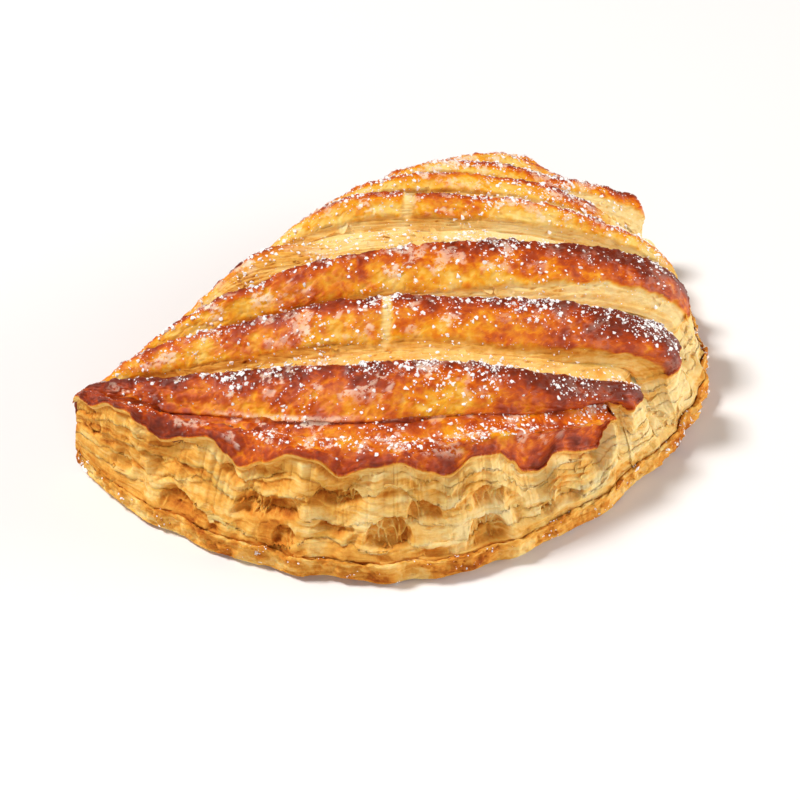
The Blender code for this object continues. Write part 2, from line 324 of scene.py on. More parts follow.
def plan_point(s, t):
    """The crust's grid in plan: s runs across the ridges, and t from the fold to the cut edge."""
    first_x = outline(np.array(0.0))[0]
    start_x = along_ridges(s, first_x, RIDGE[:, 0] * MM, LAST_FOLD_X)
    start = stack(start_x, fold_line_y(start_x))
    end = outline(edge_end(s), edge_inset(s))
    inset = TIP_LEDGE + (FRONT_INSET - TIP_LEDGE) * smoothstep(0.0, 0.35, t)
    front = outline(front_degrees(t), inset)
    front_start = np.array([first_x, fold_line_y(first_x)])
    front_end = outline(np.array(FIRST_EDGE_DEGREES), FRONT_INSET)
    share = t[..., None]
    chord = front_start + (front_end - front_start) * share
    bow = along_ridges(s, 1, RIDGE[:, 2], 0)
    return start + (end - start) * share + (front - chord) * bow[..., None]


def distance_to_cut_edge(flat):
    x, y = flat[..., 0], flat[..., 1]
    power = np.where(x < 0, LEFT_POWER, RIGHT_POWER)
    share = (np.abs(2 * x / LENGTH) ** power + np.abs(np.minimum(y, 0) / WIDTH) ** power) ** (1 / power)
    return np.linalg.norm(flat, axis=-1) * (1 / np.maximum(share, 1e-3) - 1)


def dome_height(flat):
    """The height of the dome over the table, before the ridges are cut into it."""
    x = flat[..., 0]
    left = x < CROWN_X
    tip_height = np.where(left, LEFT_TIP_HEIGHT, RIGHT_TIP_HEIGHT)
    fall = np.where(left, LEFT_FALL, RIGHT_FALL)
    side = np.where(left, LENGTH / 2 + CROWN_X, LENGTH / 2 - CROWN_X)
    share = np.minimum(1.0, np.abs(x - CROWN_X) / side)
    spine = tip_height + (CROWN_HEIGHT - tip_height) * (1 - share**2) ** fall
    drop = smoothstep(EDGE_DROP_FROM, EDGE_DROP_TO, x)
    edge = FRONT_EDGE_HEIGHT + (BACK_EDGE_HEIGHT - FRONT_EDGE_HEIGHT) * drop
    inside = np.maximum(0.0, distance_to_cut_edge(flat) - EDGE_BAND)
    return spine + (edge - spine) * np.exp(-inside / DOME_REACH)


def tip_share(x):
    tip = LENGTH / 2 - TIP_TUCK
    return smoothstep(tip - TIP_LENGTH, tip - 0.2 * TIP_LENGTH, np.abs(x))


def rim_line(degrees):
    """The base sheet's edge, seen from above."""
    tab = TAB_REACH * np.exp(-(((degrees - TAB_DEGREES) / 3.0) ** 2))
    uneven = 0.7 * MM * wander(degrees, 13, 1.1) * smoothstep(0, 12, np.minimum(degrees, 180 - degrees))
    return outline(degrees, uneven - tab)


def lip_drop(t):
    """How far the lip hangs down at each place along the front edge."""
    shares, drops = np.array(LIP_TEETH).T
    before = np.clip(np.searchsorted(shares, t, side="right") - 1, 0, len(shares) - 2)
    eased = smoothstep(0, 1, (t - shares[before]) / (shares[before + 1] - shares[before]))
    return (drops[before] + (drops[before + 1] - drops[before]) * eased) * MM


def crust_base(s, t):
    """The top crust without its fine relief. Below t = 0 it goes round the fold and under it."""
    along = np.maximum(t, 0)
    flat = plan_point(s, along)
    top = dome_height(flat)
    ridge, place = ridge_at(s)
    depth, reach = RIDGE[ridge, 3] * MM, RIDGE[ridge, 4]
    ends = smoothstep(-0.03, 0.12, along) * (1 - 0.35 * smoothstep(0.86, 1.0, along))
    fading = 1 - smoothstep(reach, reach + SHORT_RIDGE_FADE, along)
    height = top - depth * ends * (1 - ridge_shape(place) * fading)
    x, y = flat[..., 0], flat[..., 1]
    nose = np.clip(np.maximum(0.0, fold_line_y(x) - y) / (NOSE_DEPTH * top), 0, 1)
    nose_height = top * (NOSE_SHARE + (TIP_NOSE_SHARE - NOSE_SHARE) * tip_share(x))
    height = nose_height + (height - nose_height) * np.sqrt(1 - (1 - nose) ** 2)
    lobe = smoothstep(0.70, 0.97, along) * np.sqrt(ridge_shape(place))
    round_off = np.clip((along - END_ROUND_FROM) / (1 - END_ROUND_FROM), 0, 1) * smoothstep(0.06, 0.12, s)
    height = height - END_ROUND_DROP * (1 - np.sqrt(1 - 0.98 * round_off**2))
    height = height + END_LIFT[ridge] * MM * lobe
    outwards = flat / np.maximum(np.linalg.norm(flat, axis=-1, keepdims=True), 1e-6)
    corner = smoothstep(0.80, 1.0, along) * np.exp(-(((place - 0.36) / 0.17) ** 2))
    flat = flat + outwards * ((END_REACH[ridge] * lobe + END_CORNER[ridge] * corner) * MM)[..., None]
    last_lobe = smoothstep(0.90, 1.0, along) * (1 - smoothstep(0.05, 0.15, s))
    flat = flat + LAST_LOBE_SHIFT * last_lobe[..., None]
    x = flat[..., 0]
    front = 1 - smoothstep(0.0, 0.06, s)
    height = height - lip_drop(along) * front * smoothstep(0, 0.05, along)
    under = np.clip(-t / FOLD_WRAP, 0, 1) * np.pi / 2
    inward = stack(-0.25 * x / LENGTH, np.full(x.shape, -1.0))
    inward /= np.linalg.norm(inward, axis=-1, keepdims=True)
    flat = flat + inward * (BASE_INSET * (1 - np.cos(under)))[..., None]
    height = height * (1 - np.sin(under)) + UNDERSIDE_Z * np.sin(under)
    return stack(flat[..., 0], flat[..., 1], height) + np.array(MIDDLE)


def crust_surface(s, t):
    """The finished crust's points, their outward directions, how brown it is, and what its look needs."""
    base = crust_base(s, t)
    aside = np.where(s < 0.5, 6e-4, -6e-4)
    across = (crust_base(s + aside, t) - base) / aside[..., None]
    along = base - crust_base(s, t - 1.5e-3)
    normal = np.cross(across, along)
    normal /= np.maximum(np.linalg.norm(normal, axis=-1, keepdims=True), 1e-12)
    if normal[..., 2].mean() < 0:
        normal = -normal
    relief, look = crust_relief(s, t, base)
    bake = crust_bake(s, t, base, look)
    held = smoothstep(-FOLD_WRAP, -0.6 * FOLD_WRAP, t)
    points = inside_box(base + normal * ((relief - CRUST_SINK) * held)[..., None])
    return points, normal, bake, look


def crust_relief(s, t, base):
    """How far the crust stands out from its main form, and what its look depends on."""
    ridge, place = ridge_at(s)
    at_tip = smoothstep(0.03, 0.12, t)
    pale = RIDGE[ridge, 5] + (END_PALE[ridge] - RIDGE[ridge, 5]) * smoothstep(0.6, 0.95, t)
    pale = pale * at_tip
    wobble = 0.05 * fractal(base / (9 * MM), 11, 3) + 0.03 * fractal(base / (2.2 * MM), 13, 2)
    on_slab = place + wobble
    glazed = smoothstep(pale - 0.015, pale + 0.03, on_slab)
    glazed = np.where(RIDGE[ridge, 5] > 0, glazed, 1.0)
    pale_behind = (RIDGE[np.minimum(ridge + 1, len(RIDGES) - 1), 5] > 0) * at_tip
    glazed = glazed * (1 - pale_behind * smoothstep(0.77, 0.81, on_slab - 0.5 * wobble))
    reach = RIDGE[ridge, 4]
    glazed = glazed * (1 - smoothstep(reach, reach + 0.6 * SHORT_RIDGE_FADE, t))
    # Veins where the glaze has cracked open
    vein = np.zeros(t.shape)
    for vein_ridge, vein_at, vein_width in VEINS:
        across_vein = (t - vein_at + 0.072 * (place - 0.5) + 0.07 * wobble) / vein_width
        vein = np.maximum(vein, (ridge == vein_ridge) * np.exp(-(across_vein**2)))
    glazed = glazed * (1 - smoothstep(0.1, 0.6, vein))
    glazed = np.maximum(glazed, smoothstep(0.02, -0.02, t))
    # Lumps, blisters, bubbles and seams of the glaze
    lumps = fractal(base / (13 * MM), 7, 2)
    ripple = fractal(base / (6 * MM), 3, 4)
    nearest, _, _ = cell_distances(base / (4.2 * MM), 21)
    blister = smoothstep(0.55, 0.15, nearest) * smoothstep(0.1, 0.5, fractal(base / (12 * MM), 33, 2))
    bend = 0.7 * stack(*(fractal(base / (2 * MM), 35 + axis, 2) for axis in range(3)))
    cobble, beside, _ = cell_distances(base / (2.7 * MM) + bend, 25)
    seam = smoothstep(0.16, 0.0, beside - cobble)
    pebble, _, _ = cell_distances(base / (1.25 * MM) + bend, 27)
    puffed = smoothstep(-0.45, 0.3, fractal(base / (9 * MM), 29, 2))
    bubbles = (0.5 - cobble) * (0.4 + 0.6 * puffed)
    crust = bpy.context.scene.turnover_crust
    wrinkle = fractal(stack(s * 70, t * 85, ridge * 1.3), 43, 3)
    crest = np.exp(-(((place - CREST_SHARE) / 0.07) ** 2))
    ragged = fractal(base / (1.8 * MM), 45, 3)
    # Layers and pores of the pale cut faces
    grooves = stack(s * 330, t * 26, ridge * 3.7)
    laminated = fractal(grooves, 41, 3)
    slipped = fractal(stack(s * 120, t * 5, ridge * 2.9), 47, 2, 0.4)
    layers = (place - pale) * 16 + 1.5 * slipped
    layers = layers - np.floor(layers)
    nearest, _, _ = cell_distances(stack(s * 190, t * 62, ridge * 3.0), 51)
    pores = smoothstep(0.36, 0.10, nearest) * smoothstep(-0.1, 0.3, fractal(base / (5 * MM), 53, 2))
    # Sugar melted into the glaze, the open slit behind the front ridge, and a painted highlight line beside
    # the slit
    frost = fractal(base / (3.4 * MM), 91, 4, 0.6) + 0.18 * fractal(base / (14 * MM), 93, 2)
    frost = smoothstep(0.18, 0.24, frost)
    frost = frost * smoothstep(0.15, 0.35, place) * smoothstep(0.05, 0.12, t) * (1 - 0.6 * crest)
    frost = frost * (1 - np.where((ridge > 0) & (ridge < 4), 0.85, 0.5) * smoothstep(0.55, 0.8, t))
    past_slit = (s - 1 / len(RIDGES)) * len(RIDGES)
    slit = np.exp(-((past_slit / 0.02) ** 2)) * smoothstep(0.02, 0.06, t)
    slit = slit * (1 - smoothstep(0.62, 0.8, t))
    # Painted highlight: a thin bright line beside the slit, coloured as melted sugar
    painted_glint = np.exp(-(((past_slit - 0.055) / 0.016) ** 2)) * smoothstep(0.26, 0.32, t)
    painted_glint = painted_glint * (1 - smoothstep(0.5, 0.6, t))
    slab_edge = np.exp(-(((on_slab - pale - 0.05) / 0.05) ** 2))
    shell = RIPPLE_HEIGHT * ripple + crust.bubble_height / MM * bubbles
    shell = shell + PEBBLE_HEIGHT * (0.5 - pebble) - SEAM_DEPTH * seam
    shell = shell + crust.wrinkle_height / MM * wrinkle
    shell = shell + BLISTER_HEIGHT * blister + SHELL_THICKNESS + SLAB_EDGE_HEIGHT * slab_edge
    shell = shell + CREST_RAGGEDNESS * ragged * crest + FROST_HEIGHT * frost
    crumb = GROOVE_DEPTH * laminated - PORE_DEPTH * pores + LAYER_HEIGHT * (layers - 0.5)
    crumb = crumb + CRUMB_RIPPLE * ripple
    relief = LUMP_HEIGHT * lumps + shell * glazed + crumb * (1 - glazed) - SLIT_DEPTH * slit
    return relief * MM, {
        "glazed": glazed,
        "place": place,
        "ridge": ridge,
        "pores": pores * (1 - glazed),
        "laminated": laminated,
        "layers": layers,
        "blister": blister,
        "bubbles": bubbles - 0.4 * seam,
        # the frost mask also carries the painted highlight line beside the slit
        "frost": np.maximum(frost, painted_glint),
        "slit": slit,
        "vein": vein,
    }


def crust_bake(s, t, base, look):
    """How brown the crust is, from 0, cream, to 1, nearly black."""
    ridge, place, glazed = look["ridge"], look["place"], look["glazed"]
    pale = RIDGE[ridge, 5]
    up_slope = np.clip((place - pale) / np.maximum(CREST_SHARE - pale, 0.05), 0, 1)
    steps = np.array([0.0, 0.18, 0.4, 0.62, 0.82, 1.0])
    tone = np.interp(up_slope, steps, [0.30, 0.34, 0.42, 0.55, 0.74, 0.86])
    tone = np.where(place > CREST_SHARE, 0.86 - 0.5 * smoothstep(0.82, 1.0, place), tone)
    # Painted shade: ridge 0's back and ridge 1's front are darker right at the slit between them
    front_lip = np.interp(place, [0, 0.12, 0.35, 0.6, 0.85, 1], [0.70, 0.66, 0.56, 0.52, 0.52, 0.66])
    tone = np.where(ridge == 0, front_lip, tone)
    slit = np.interp(place, [0, 0.05, 0.14, 0.3, 0.5, 0.65, 0.8], [0.70, 0.50, 0.42, 0.46, 0.62, 0.8, 0.84])
    tone = np.where((ridge == 1) & (place < CREST_SHARE), slit, tone)
    mottled = fractal(base / (10 * MM), 61, 4)
    patches = np.tanh(3 * fractal(base / (4.5 * MM), 63, 3))
    streaks = fractal(stack(s * 60, t * 30, ridge * 2.0), 71, 3)
    tone = tone + 0.24 * mottled + 0.10 * patches + 0.10 * streaks + 0.06 * look["blister"]
    tone = tone + bpy.context.scene.turnover_crust.browning
    tone = tone + 0.28 * look["bubbles"]
    at_end = smoothstep(0.70, 0.95, t)
    darker_end = np.where((ridge > 0) & (ridge < 4), 0.30 + 0.06 * (ridge == 3), 0.02)
    tone = tone + darker_end * at_end + 0.01 * (ridge == 0)
    tone = tone - 0.12 * (ridge > 4) + 0.24 * (ridge < 2) * smoothstep(0.55, 0.1, t) + 0.06
    tone = tone - np.where(ridge < 6, 0.12 * (ridge > 3), -0.18) * smoothstep(0.55, 0.85, t)
    on_fold = 0.8 * smoothstep(0.07, -0.01, t) * (ridge > 1)
    tone = tone + (0.56 + 0.3 * mottled + 0.12 * patches - tone) * on_fold
    # Painted shade: darker along the slit, less so where the painted highlight line runs beside it
    tone = tone + 0.4 * look["slit"] * (1 - 0.7 * smoothstep(0.22, 0.28, t) * (1 - smoothstep(0.40, 0.46, t)))
    # Painted shade on the pale cut faces: darker just under the glazed slab's edge, in the pores and in the
    # low part of each layer step
    shade_under_slab = np.exp(-(((place - pale) / 0.045) ** 2))
    cream = 0.23 + 0.07 * look["laminated"] + 0.16 * look["pores"] + 0.24 * mottled + 0.12 * shade_under_slab
    cream = cream + 0.10 * smoothstep(0.25, 0.0, look["layers"]) + 0.12 * smoothstep(0.5, 0.15, t)
    cream = cream + 0.05 * (ridge < 4) - 0.22 * (ridge > 2) * smoothstep(0.4, 0.75, t)
    cream = cream - 0.25 * look["vein"]
    return np.clip(cream + (tone - cream) * glazed, 0, 1)


def inside_box(points):
    low = np.array(CAD_LOW) + CLEARANCE
    high = np.array(CAD_HIGH) - CLEARANCE
    return np.clip(points, low, high)


def closed_strip(name, points, back, attributes):
    """A solid with the grid as its visible side. back holds the hidden corners along both long edges."""
    rows, columns = points.shape[:2]
    count = rows * columns
    vertices = np.concatenate([points.reshape(-1, 3), back.reshape(-1, 3)])
    index = np.arange(count).reshape(rows, columns)
    near = count + np.arange(rows)
    far = near + rows
    loops = [np.stack([index[:-1, :-1], index[1:, :-1], index[1:, 1:], index[:-1, 1:]], -1).reshape(-1, 4)]
    loops.append(np.stack([near[:-1], near[1:], index[1:, 0], index[:-1, 0]], -1))
    loops.append(np.stack([index[:-1, -1], index[1:, -1], far[1:], far[:-1]], -1))
    loops.append(np.stack([far[:-1], far[1:], near[1:], near[:-1]], -1))
    faces = np.concatenate(loops).tolist()
    faces.append([near[0], *index[0, :].tolist(), far[0]])
    faces.append([far[-1], *index[-1, ::-1].tolist(), near[-1]])
    mesh = bpy.data.meshes.new(name)
    mesh.from_pydata(vertices.tolist(), [], faces)
    for key, values in attributes.items():
        layer = mesh.attributes.new(key, "FLOAT", "POINT")
        padded = np.concatenate([values.ravel(), values[:, 0], values[:, -1]])
        layer.data.foreach_set("value", padded.astype(np.float32))
    mesh.validate()
    return finish_mesh(mesh)


def hand_over(obj, material):
    """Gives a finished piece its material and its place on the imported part."""
    obj.data.materials.clear()
    obj.data.materials.append(material)
    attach(obj, "root")
    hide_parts(NODE)


def detail_scale():
    return 1.0


# The crust's pieces: name, first and last ridge, and rows of faces to a ridge
CRUST_PIECES = (("crust_front", 0, 3, 80), ("crust_middle", 3, 6, 80), ("crust_back", 6, 10, 58))
CRUST_STEPS_ALONG = 340


def build_crust(name, first_ridge, last_ridge, rows_per_ridge):
    """One closed piece of the top crust, from one cut to another."""
    count = int(rows_per_ridge * (last_ridge - first_ridge) * detail_scale())
    s = np.linspace(first_ridge, last_ridge, count + 1) / len(RIDGES)
    steps = int(CRUST_STEPS_ALONG * detail_scale())
    wrap = np.linspace(-FOLD_WRAP, 0, steps // 9)[:-1]
    t = np.concatenate([wrap, np.linspace(0, 1, steps)])
    s, t = np.meshgrid(s, t, indexing="ij")
    points, normal, bake, look = crust_surface(s, t)
    dusted = smoothstep(-0.35, 0.30, fractal(points / (8 * MM), 81, 3))
    clumped = smoothstep(0.0, 0.35, fractal(points / (2.5 * MM), 85, 2))
    crests = np.exp(-(((look["place"] - 0.70) / 0.16) ** 2))
    crests = crests + 0.35 * np.exp(-(((look["place"] - 0.92) / 0.05) ** 2)) * (look["ridge"] < 6)
    sugar = smoothstep(0.3, 0.9, normal[..., 2]) * (0.26 + 0.74 * crests) * (0.15 + 0.85 * dusted)
    sugar = sugar * (0.35 + 0.65 * clumped) * (1 - 0.9 * look["slit"]) * np.where(look["ridge"] == 0, 0.55, 1)
    sugar = sugar * (1 - 0.6 * (look["ridge"] == 3) * smoothstep(0.6, 0.8, t))
    back = np.stack([points[0], points[-1]])
    back[..., 2] *= 0.4
    middle = points.reshape(-1, 3).mean(axis=0)
    back[..., :2] += (middle[:2] - back[..., :2]) * 0.35
    strip = np.transpose(points, (1, 0, 2))
    flaky = (1 - look["glazed"]) * smoothstep(0.0, 0.5, fractal(points / (6 * MM), 83, 2))
    attributes = {
        "bake": bake.T,
        "glazed": look["glazed"].T,
        # melted sugar, together with the painted highlight line beside the slit
        "frost": (look["frost"] * (0.5 + 0.5 * dusted) * (0.45 + 0.55 * look["glazed"])).T,
        "sugar": sugar.T,
        # Painted shade: darkens the pores of the pale cut faces
        "hollow": look["pores"].T,
        "flaky": flaky.T,
    }
    return closed_strip(name, strip, back, attributes)


# Materials


def rgb(red, green, blue):
    """Linear colour from the 0 to 255 values of a screen."""
    return (*(((v / 255 + 0.055) / 1.055) ** 2.4 if v > 10 else v / 3295 for v in (red, green, blue)), 1.0)


class Nodes:
    """Short ways to add shader nodes to one new material."""

    def __init__(self, name):
        self.material = bpy.data.materials.new(name)
        self.material.use_nodes = True
        self.tree = self.material.node_tree
        self.surface = self.tree.nodes["Principled BSDF"]
        self.object = self.add("ShaderNodeTexCoord").outputs["Object"]

    def add(self, kind, **settings):
        node = self.tree.nodes.new(kind)
        for key, value in settings.items():
            setattr(node, key, value)
        return node

    def link(self, source, target):
        self.tree.links.new(source, target)

    def put(self, target, value):
        if isinstance(value, bpy.types.NodeSocket):
            self.link(value, target)
        else:
            target.default_value = value

    def attribute(self, name):
        return self.add("ShaderNodeAttribute", attribute_name=name).outputs["Fac"]

    def noise(self, scale, detail=4.0, roughness=0.6, distortion=0.0, stretch=None):
        node = self.add("ShaderNodeTexNoise")
        vector = self.object
        if stretch is not None:
            mapping = self.add("ShaderNodeMapping")
            mapping.inputs["Scale"].default_value = stretch
            self.link(self.object, mapping.inputs["Vector"])
            vector = mapping.outputs["Vector"]
        self.link(vector, node.inputs["Vector"])
        node.inputs["Scale"].default_value = scale
        node.inputs["Detail"].default_value = detail
        node.inputs["Roughness"].default_value = roughness
        node.inputs["Distortion"].default_value = distortion
        return node.outputs["Fac"]

    def math(self, operation, first, second=0.0, third=0.0):
        node = self.add("ShaderNodeMath", operation=operation)
        for socket, value in zip(node.inputs, (first, second, third)):
            self.put(socket, value)
        return node.outputs["Value"]

    def remap(self, value, from_low, from_high, to_low=0.0, to_high=1.0):
        node = self.add("ShaderNodeMapRange", interpolation_type="SMOOTHSTEP")
        self.put(node.inputs["Value"], value)
        node.inputs["From Min"].default_value = from_low
        node.inputs["From Max"].default_value = from_high
        node.inputs["To Min"].default_value = to_low
        node.inputs["To Max"].default_value = to_high
        return node.outputs["Result"]

    def ramp(self, value, stops):
        node = self.add("ShaderNodeValToRGB")
        elements = node.color_ramp.elements
        while len(elements) < len(stops):
            elements.new(0.5)
        for element, (position, colour) in zip(elements, stops):
            element.position = position
            element.color = colour
        self.link(value, node.inputs["Fac"])
        return node.outputs["Color"]

    def mix(self, share, first, second):
        node = self.add("ShaderNodeMix", data_type="RGBA")
        self.put(node.inputs["Factor"], share)
        colours = [socket for socket in node.inputs if socket.type == "RGBA"]
        self.put(colours[0], first)
        self.put(colours[1], second)
        return next(socket for socket in node.outputs if socket.type == "RGBA")

    def bump(self, height, strength, distance, under=None):
        node = self.add("ShaderNodeBump")
        node.inputs["Strength"].default_value = strength
        node.inputs["Distance"].default_value = distance
        self.link(height, node.inputs["Height"])
        if under is not None:
            self.link(under, node.inputs["Normal"])
        return node.outputs["Normal"]


def pastry_material():
    """Baked puff pastry: egg-washed crust where it is glazed, and pale, matte leaves where it was cut."""
    if "baked_pastry" in bpy.data.materials:
        return bpy.data.materials["baked_pastry"]
    make = Nodes("baked_pastry")
    colours = bpy.context.scene.turnover_colours
    bake = make.attribute("bake")
    glazed = make.attribute("glazed")
    hollow = make.attribute("hollow")
    frost = make.attribute("frost")
    fine = make.noise(900, 5, 0.7)
    broad = make.noise(230, 5, 0.65, 0.5)
    tone = make.math("MULTIPLY_ADD", make.math("SUBTRACT", fine, 0.5), 0.34, bake)
    tone = make.math("MULTIPLY_ADD", make.math("SUBTRACT", broad, 0.5), 0.55, tone)
    crust = make.ramp(
        tone,
        (
            (0.0, rgb(247, 214, 130)),
            (0.16, rgb(244, 196, 92)),
            (0.32, colours.golden),
            (0.46, colours.amber),
            (0.60, rgb(206, 90, 2)),
            (0.74, colours.brown),
            (0.88, rgb(140, 44, 4)),
            (1.0, colours.darkest),
        ),
    )
    layers = make.noise(330, 3, 0.55, 0.8, stretch=(0.35, 0.35, 3.2))
    # Painted shade: the hollow measure darkens the dough in pores, pockets and bubbles
    crumb_tone = make.math("MULTIPLY_ADD", hollow, 0.26, tone)
    crumb_tone = make.math("MULTIPLY_ADD", make.math("SUBTRACT", layers, 0.5), 0.55, crumb_tone)
    crumb = make.ramp(
        crumb_tone,
        (
            (0.0, colours.cream),
            (0.2, rgb(246, 204, 124)),
            (0.4, rgb(234, 172, 78)),
            (0.6, rgb(212, 134, 46)),
            (0.8, rgb(172, 90, 26)),
            (1.0, rgb(100, 44, 14)),
        ),
    )
    surface = make.surface.inputs
    colour = make.mix(glazed, crumb, crust)
    broken = make.remap(make.noise(1000, 4, 0.65), 0.40, 0.49)
    # Mixes in the melted sugar colour, which also paints the highlight line beside the slit
    melted = make.math("MULTIPLY", make.math("MULTIPLY", frost, broken), 0.95)
    make.put(surface["Base Color"], make.mix(melted, colour, colours.melted_sugar))
    make.put(surface["Roughness"], make.remap(glazed, 0, 1, 0.70, 0.42))
    surface["Specular IOR Level"].default_value = 0.08
    make.put(surface["Coat Weight"], make.remap(glazed, 0.3, 1, 0.0, 0.45))
    surface["Coat Roughness"].default_value = 0.09
    surface["Subsurface Weight"].default_value = 0.28
    surface["Subsurface Radius"].default_value = (0.004, 0.0022, 0.0011)
    surface["Subsurface Scale"].default_value = 0.5
    wrinkles = make.bump(make.noise(260, 5, 0.6, 0.4), 0.6, 0.0006)
    on_crumb = make.math("MULTIPLY", layers, make.remap(glazed, 0, 1, 1.0, 0.1))
    leaves = make.bump(on_crumb, 0.6, 0.0008, wrinkles)
    grain = make.bump(make.noise(900, 3, 0.6), 0.45, 0.00025, leaves)
    make.link(grain, surface["Normal"])
    coat = make.bump(make.noise(420, 5, 0.7, 0.6), 1.0, 0.0009)
    make.link(coat, surface["Coat Normal"])
    return make.material


def sugar_material():
    if "icing_sugar" in bpy.data.materials:
        return bpy.data.materials["icing_sugar"]
    make = Nodes("icing_sugar")
    make.put(make.surface.inputs["Base Color"], bpy.context.scene.turnover_colours.sugar)
    make.put(make.surface.inputs["Roughness"], 0.7)
    make.put(make.surface.inputs["Subsurface Weight"], 0.3)
    make.surface.inputs["Subsurface Radius"].default_value = (0.001, 0.001, 0.001)
    return make.material


# The cut side

WALL_DROP = 17  # mm from the lip down to the ledge
# The leaves: the height shares of their lower edges, from the lip down to the ledge
LEAF_EDGES = (0.13, 0.34, 0.58, 0.82)
# Places where stretched dough runs straight down over the leaves: degrees round the edge, half width in mm,
# and how far in mm it slants by the ledge
BUTTRESSES = (
    (7.5, 2.4, 6.0),
    (23, 1.8, -2.0),
    (34, 1.5, 3.0),
    (47, 1.8, -3.0),
    (60.5, 2.6, 1.0),
    (69, 1.6, 2.0),
    (76.5, 2.4, -1.0),
    (86, 3.4, -3.0),
    (97, 3.0, 2.0),
    (112, 3.2, -2.0),
    (128, 2.6, 1.0),
    (146, 2.4, -1.0),
    (163, 2.4, 1.0),
)
# Hollows between the leaves: degrees round the edge, height share, half width and half height in mm, depth
# as a share of the full pocket depth, and how foamy the dough in it is
HOLLOWS = (
    (2.0, 0.42, 2.4, 1.0, 0.5, 0.4),
    (5.3, 0.70, 3.4, 1.2, 0.5, 0.2),
    (9.3, 0.33, 3.2, 1.2, 0.5, 0.3),
    (13.6, 0.82, 4.6, 1.9, 0.6, 0.6),
    (21.4, 0.20, 3.6, 1.2, 0.6, 0.2),
    (28.2, 0.55, 8.0, 2.5, 0.9, 0.0),
    (31.5, 0.82, 3.0, 1.3, 0.5, 0.9),
    (39.7, 0.68, 4.4, 1.0, 0.5, 0.9),
    (40.5, 0.30, 5.4, 2.1, 0.8, 0.1),
    (49.0, 0.73, 5.2, 2.6, 0.7, 1.0),
    (55.9, 0.46, 3.8, 1.9, 0.8, 0.2),
    (66.4, 0.88, 5.6, 2.2, 0.7, 1.0),
    (67.6, 0.50, 4.2, 1.9, 1.0, 0.1),
    (79.1, 0.72, 4.8, 2.2, 0.8, 0.7),
    (86.9, 0.77, 3.0, 2.0, 0.6, 0.8),
    (99.0, 0.64, 2.8, 1.4, 0.4, 0.8),
    (108.0, 0.40, 3.0, 1.2, 0.4, 0.5),
    (121.0, 0.66, 4.0, 1.6, 0.6, 0.6),
    (136.0, 0.45, 4.4, 1.8, 0.7, 0.4),
    (150.0, 0.60, 5.0, 1.8, 0.7, 0.6),
    (168.0, 0.50, 4.0, 1.6, 0.6, 0.3),
)
LEDGE_WIDTH = 1.3 * MM
RIM_ROUNDING = 1.1 * MM
RIM_SINK = 0.6 * MM
WALL_RECESS = 0.5 * MM
WALL_FROM, WALL_TO, LEDGE_TO, RIM_TO = 0.07, 0.73, 0.78, 0.93


def crust_border(degrees):
    """The crust's border points over each place of the cut edge, and how brown and glazed they are."""
    on_front = degrees <= FIRST_EDGE_DEGREES
    t_front = (np.clip(degrees, 0, FIRST_EDGE_DEGREES) / FIRST_EDGE_DEGREES) ** (1 / FRONT_SPACING)
    ends = [FIRST_EDGE_DEGREES, *RIDGE[:, 1], LAST_EDGE_DEGREES]
    s_back = np.interp(degrees, ends, RIDGE_SHARES)
    t_back = np.where(degrees > LAST_EDGE_DEGREES, (180 - degrees) / (180 - LAST_EDGE_DEGREES), 1.0)
    s = np.where(on_front, 0.0, s_back)
    t = np.where(on_front, t_front, t_back)
    points, _, bake, look = crust_surface(s, t)
    return points, bake, look["glazed"]


def leaf_edges(size_line):
    """Where each leaf's lower edge runs: height shares from the lip down, one row to a leaf."""
    rows = [np.zeros(len(size_line))]
    for number, level in enumerate(LEAF_EDGES):
        slow = fractal(stack(size_line / 12, number * 5.3, 0.5), 101, 2, 0.4)
        quick = fractal(stack(size_line / 3.4, number * 3.1, 2.5), 103, 2)
        edge = level + 0.20 * slow + 0.012 * quick
        rows.append(np.maximum(rows[-1] + 0.035, np.minimum(edge, 0.80 + 0.045 * number)))
    rows.append(np.ones(len(size_line)))
    return np.array(rows)


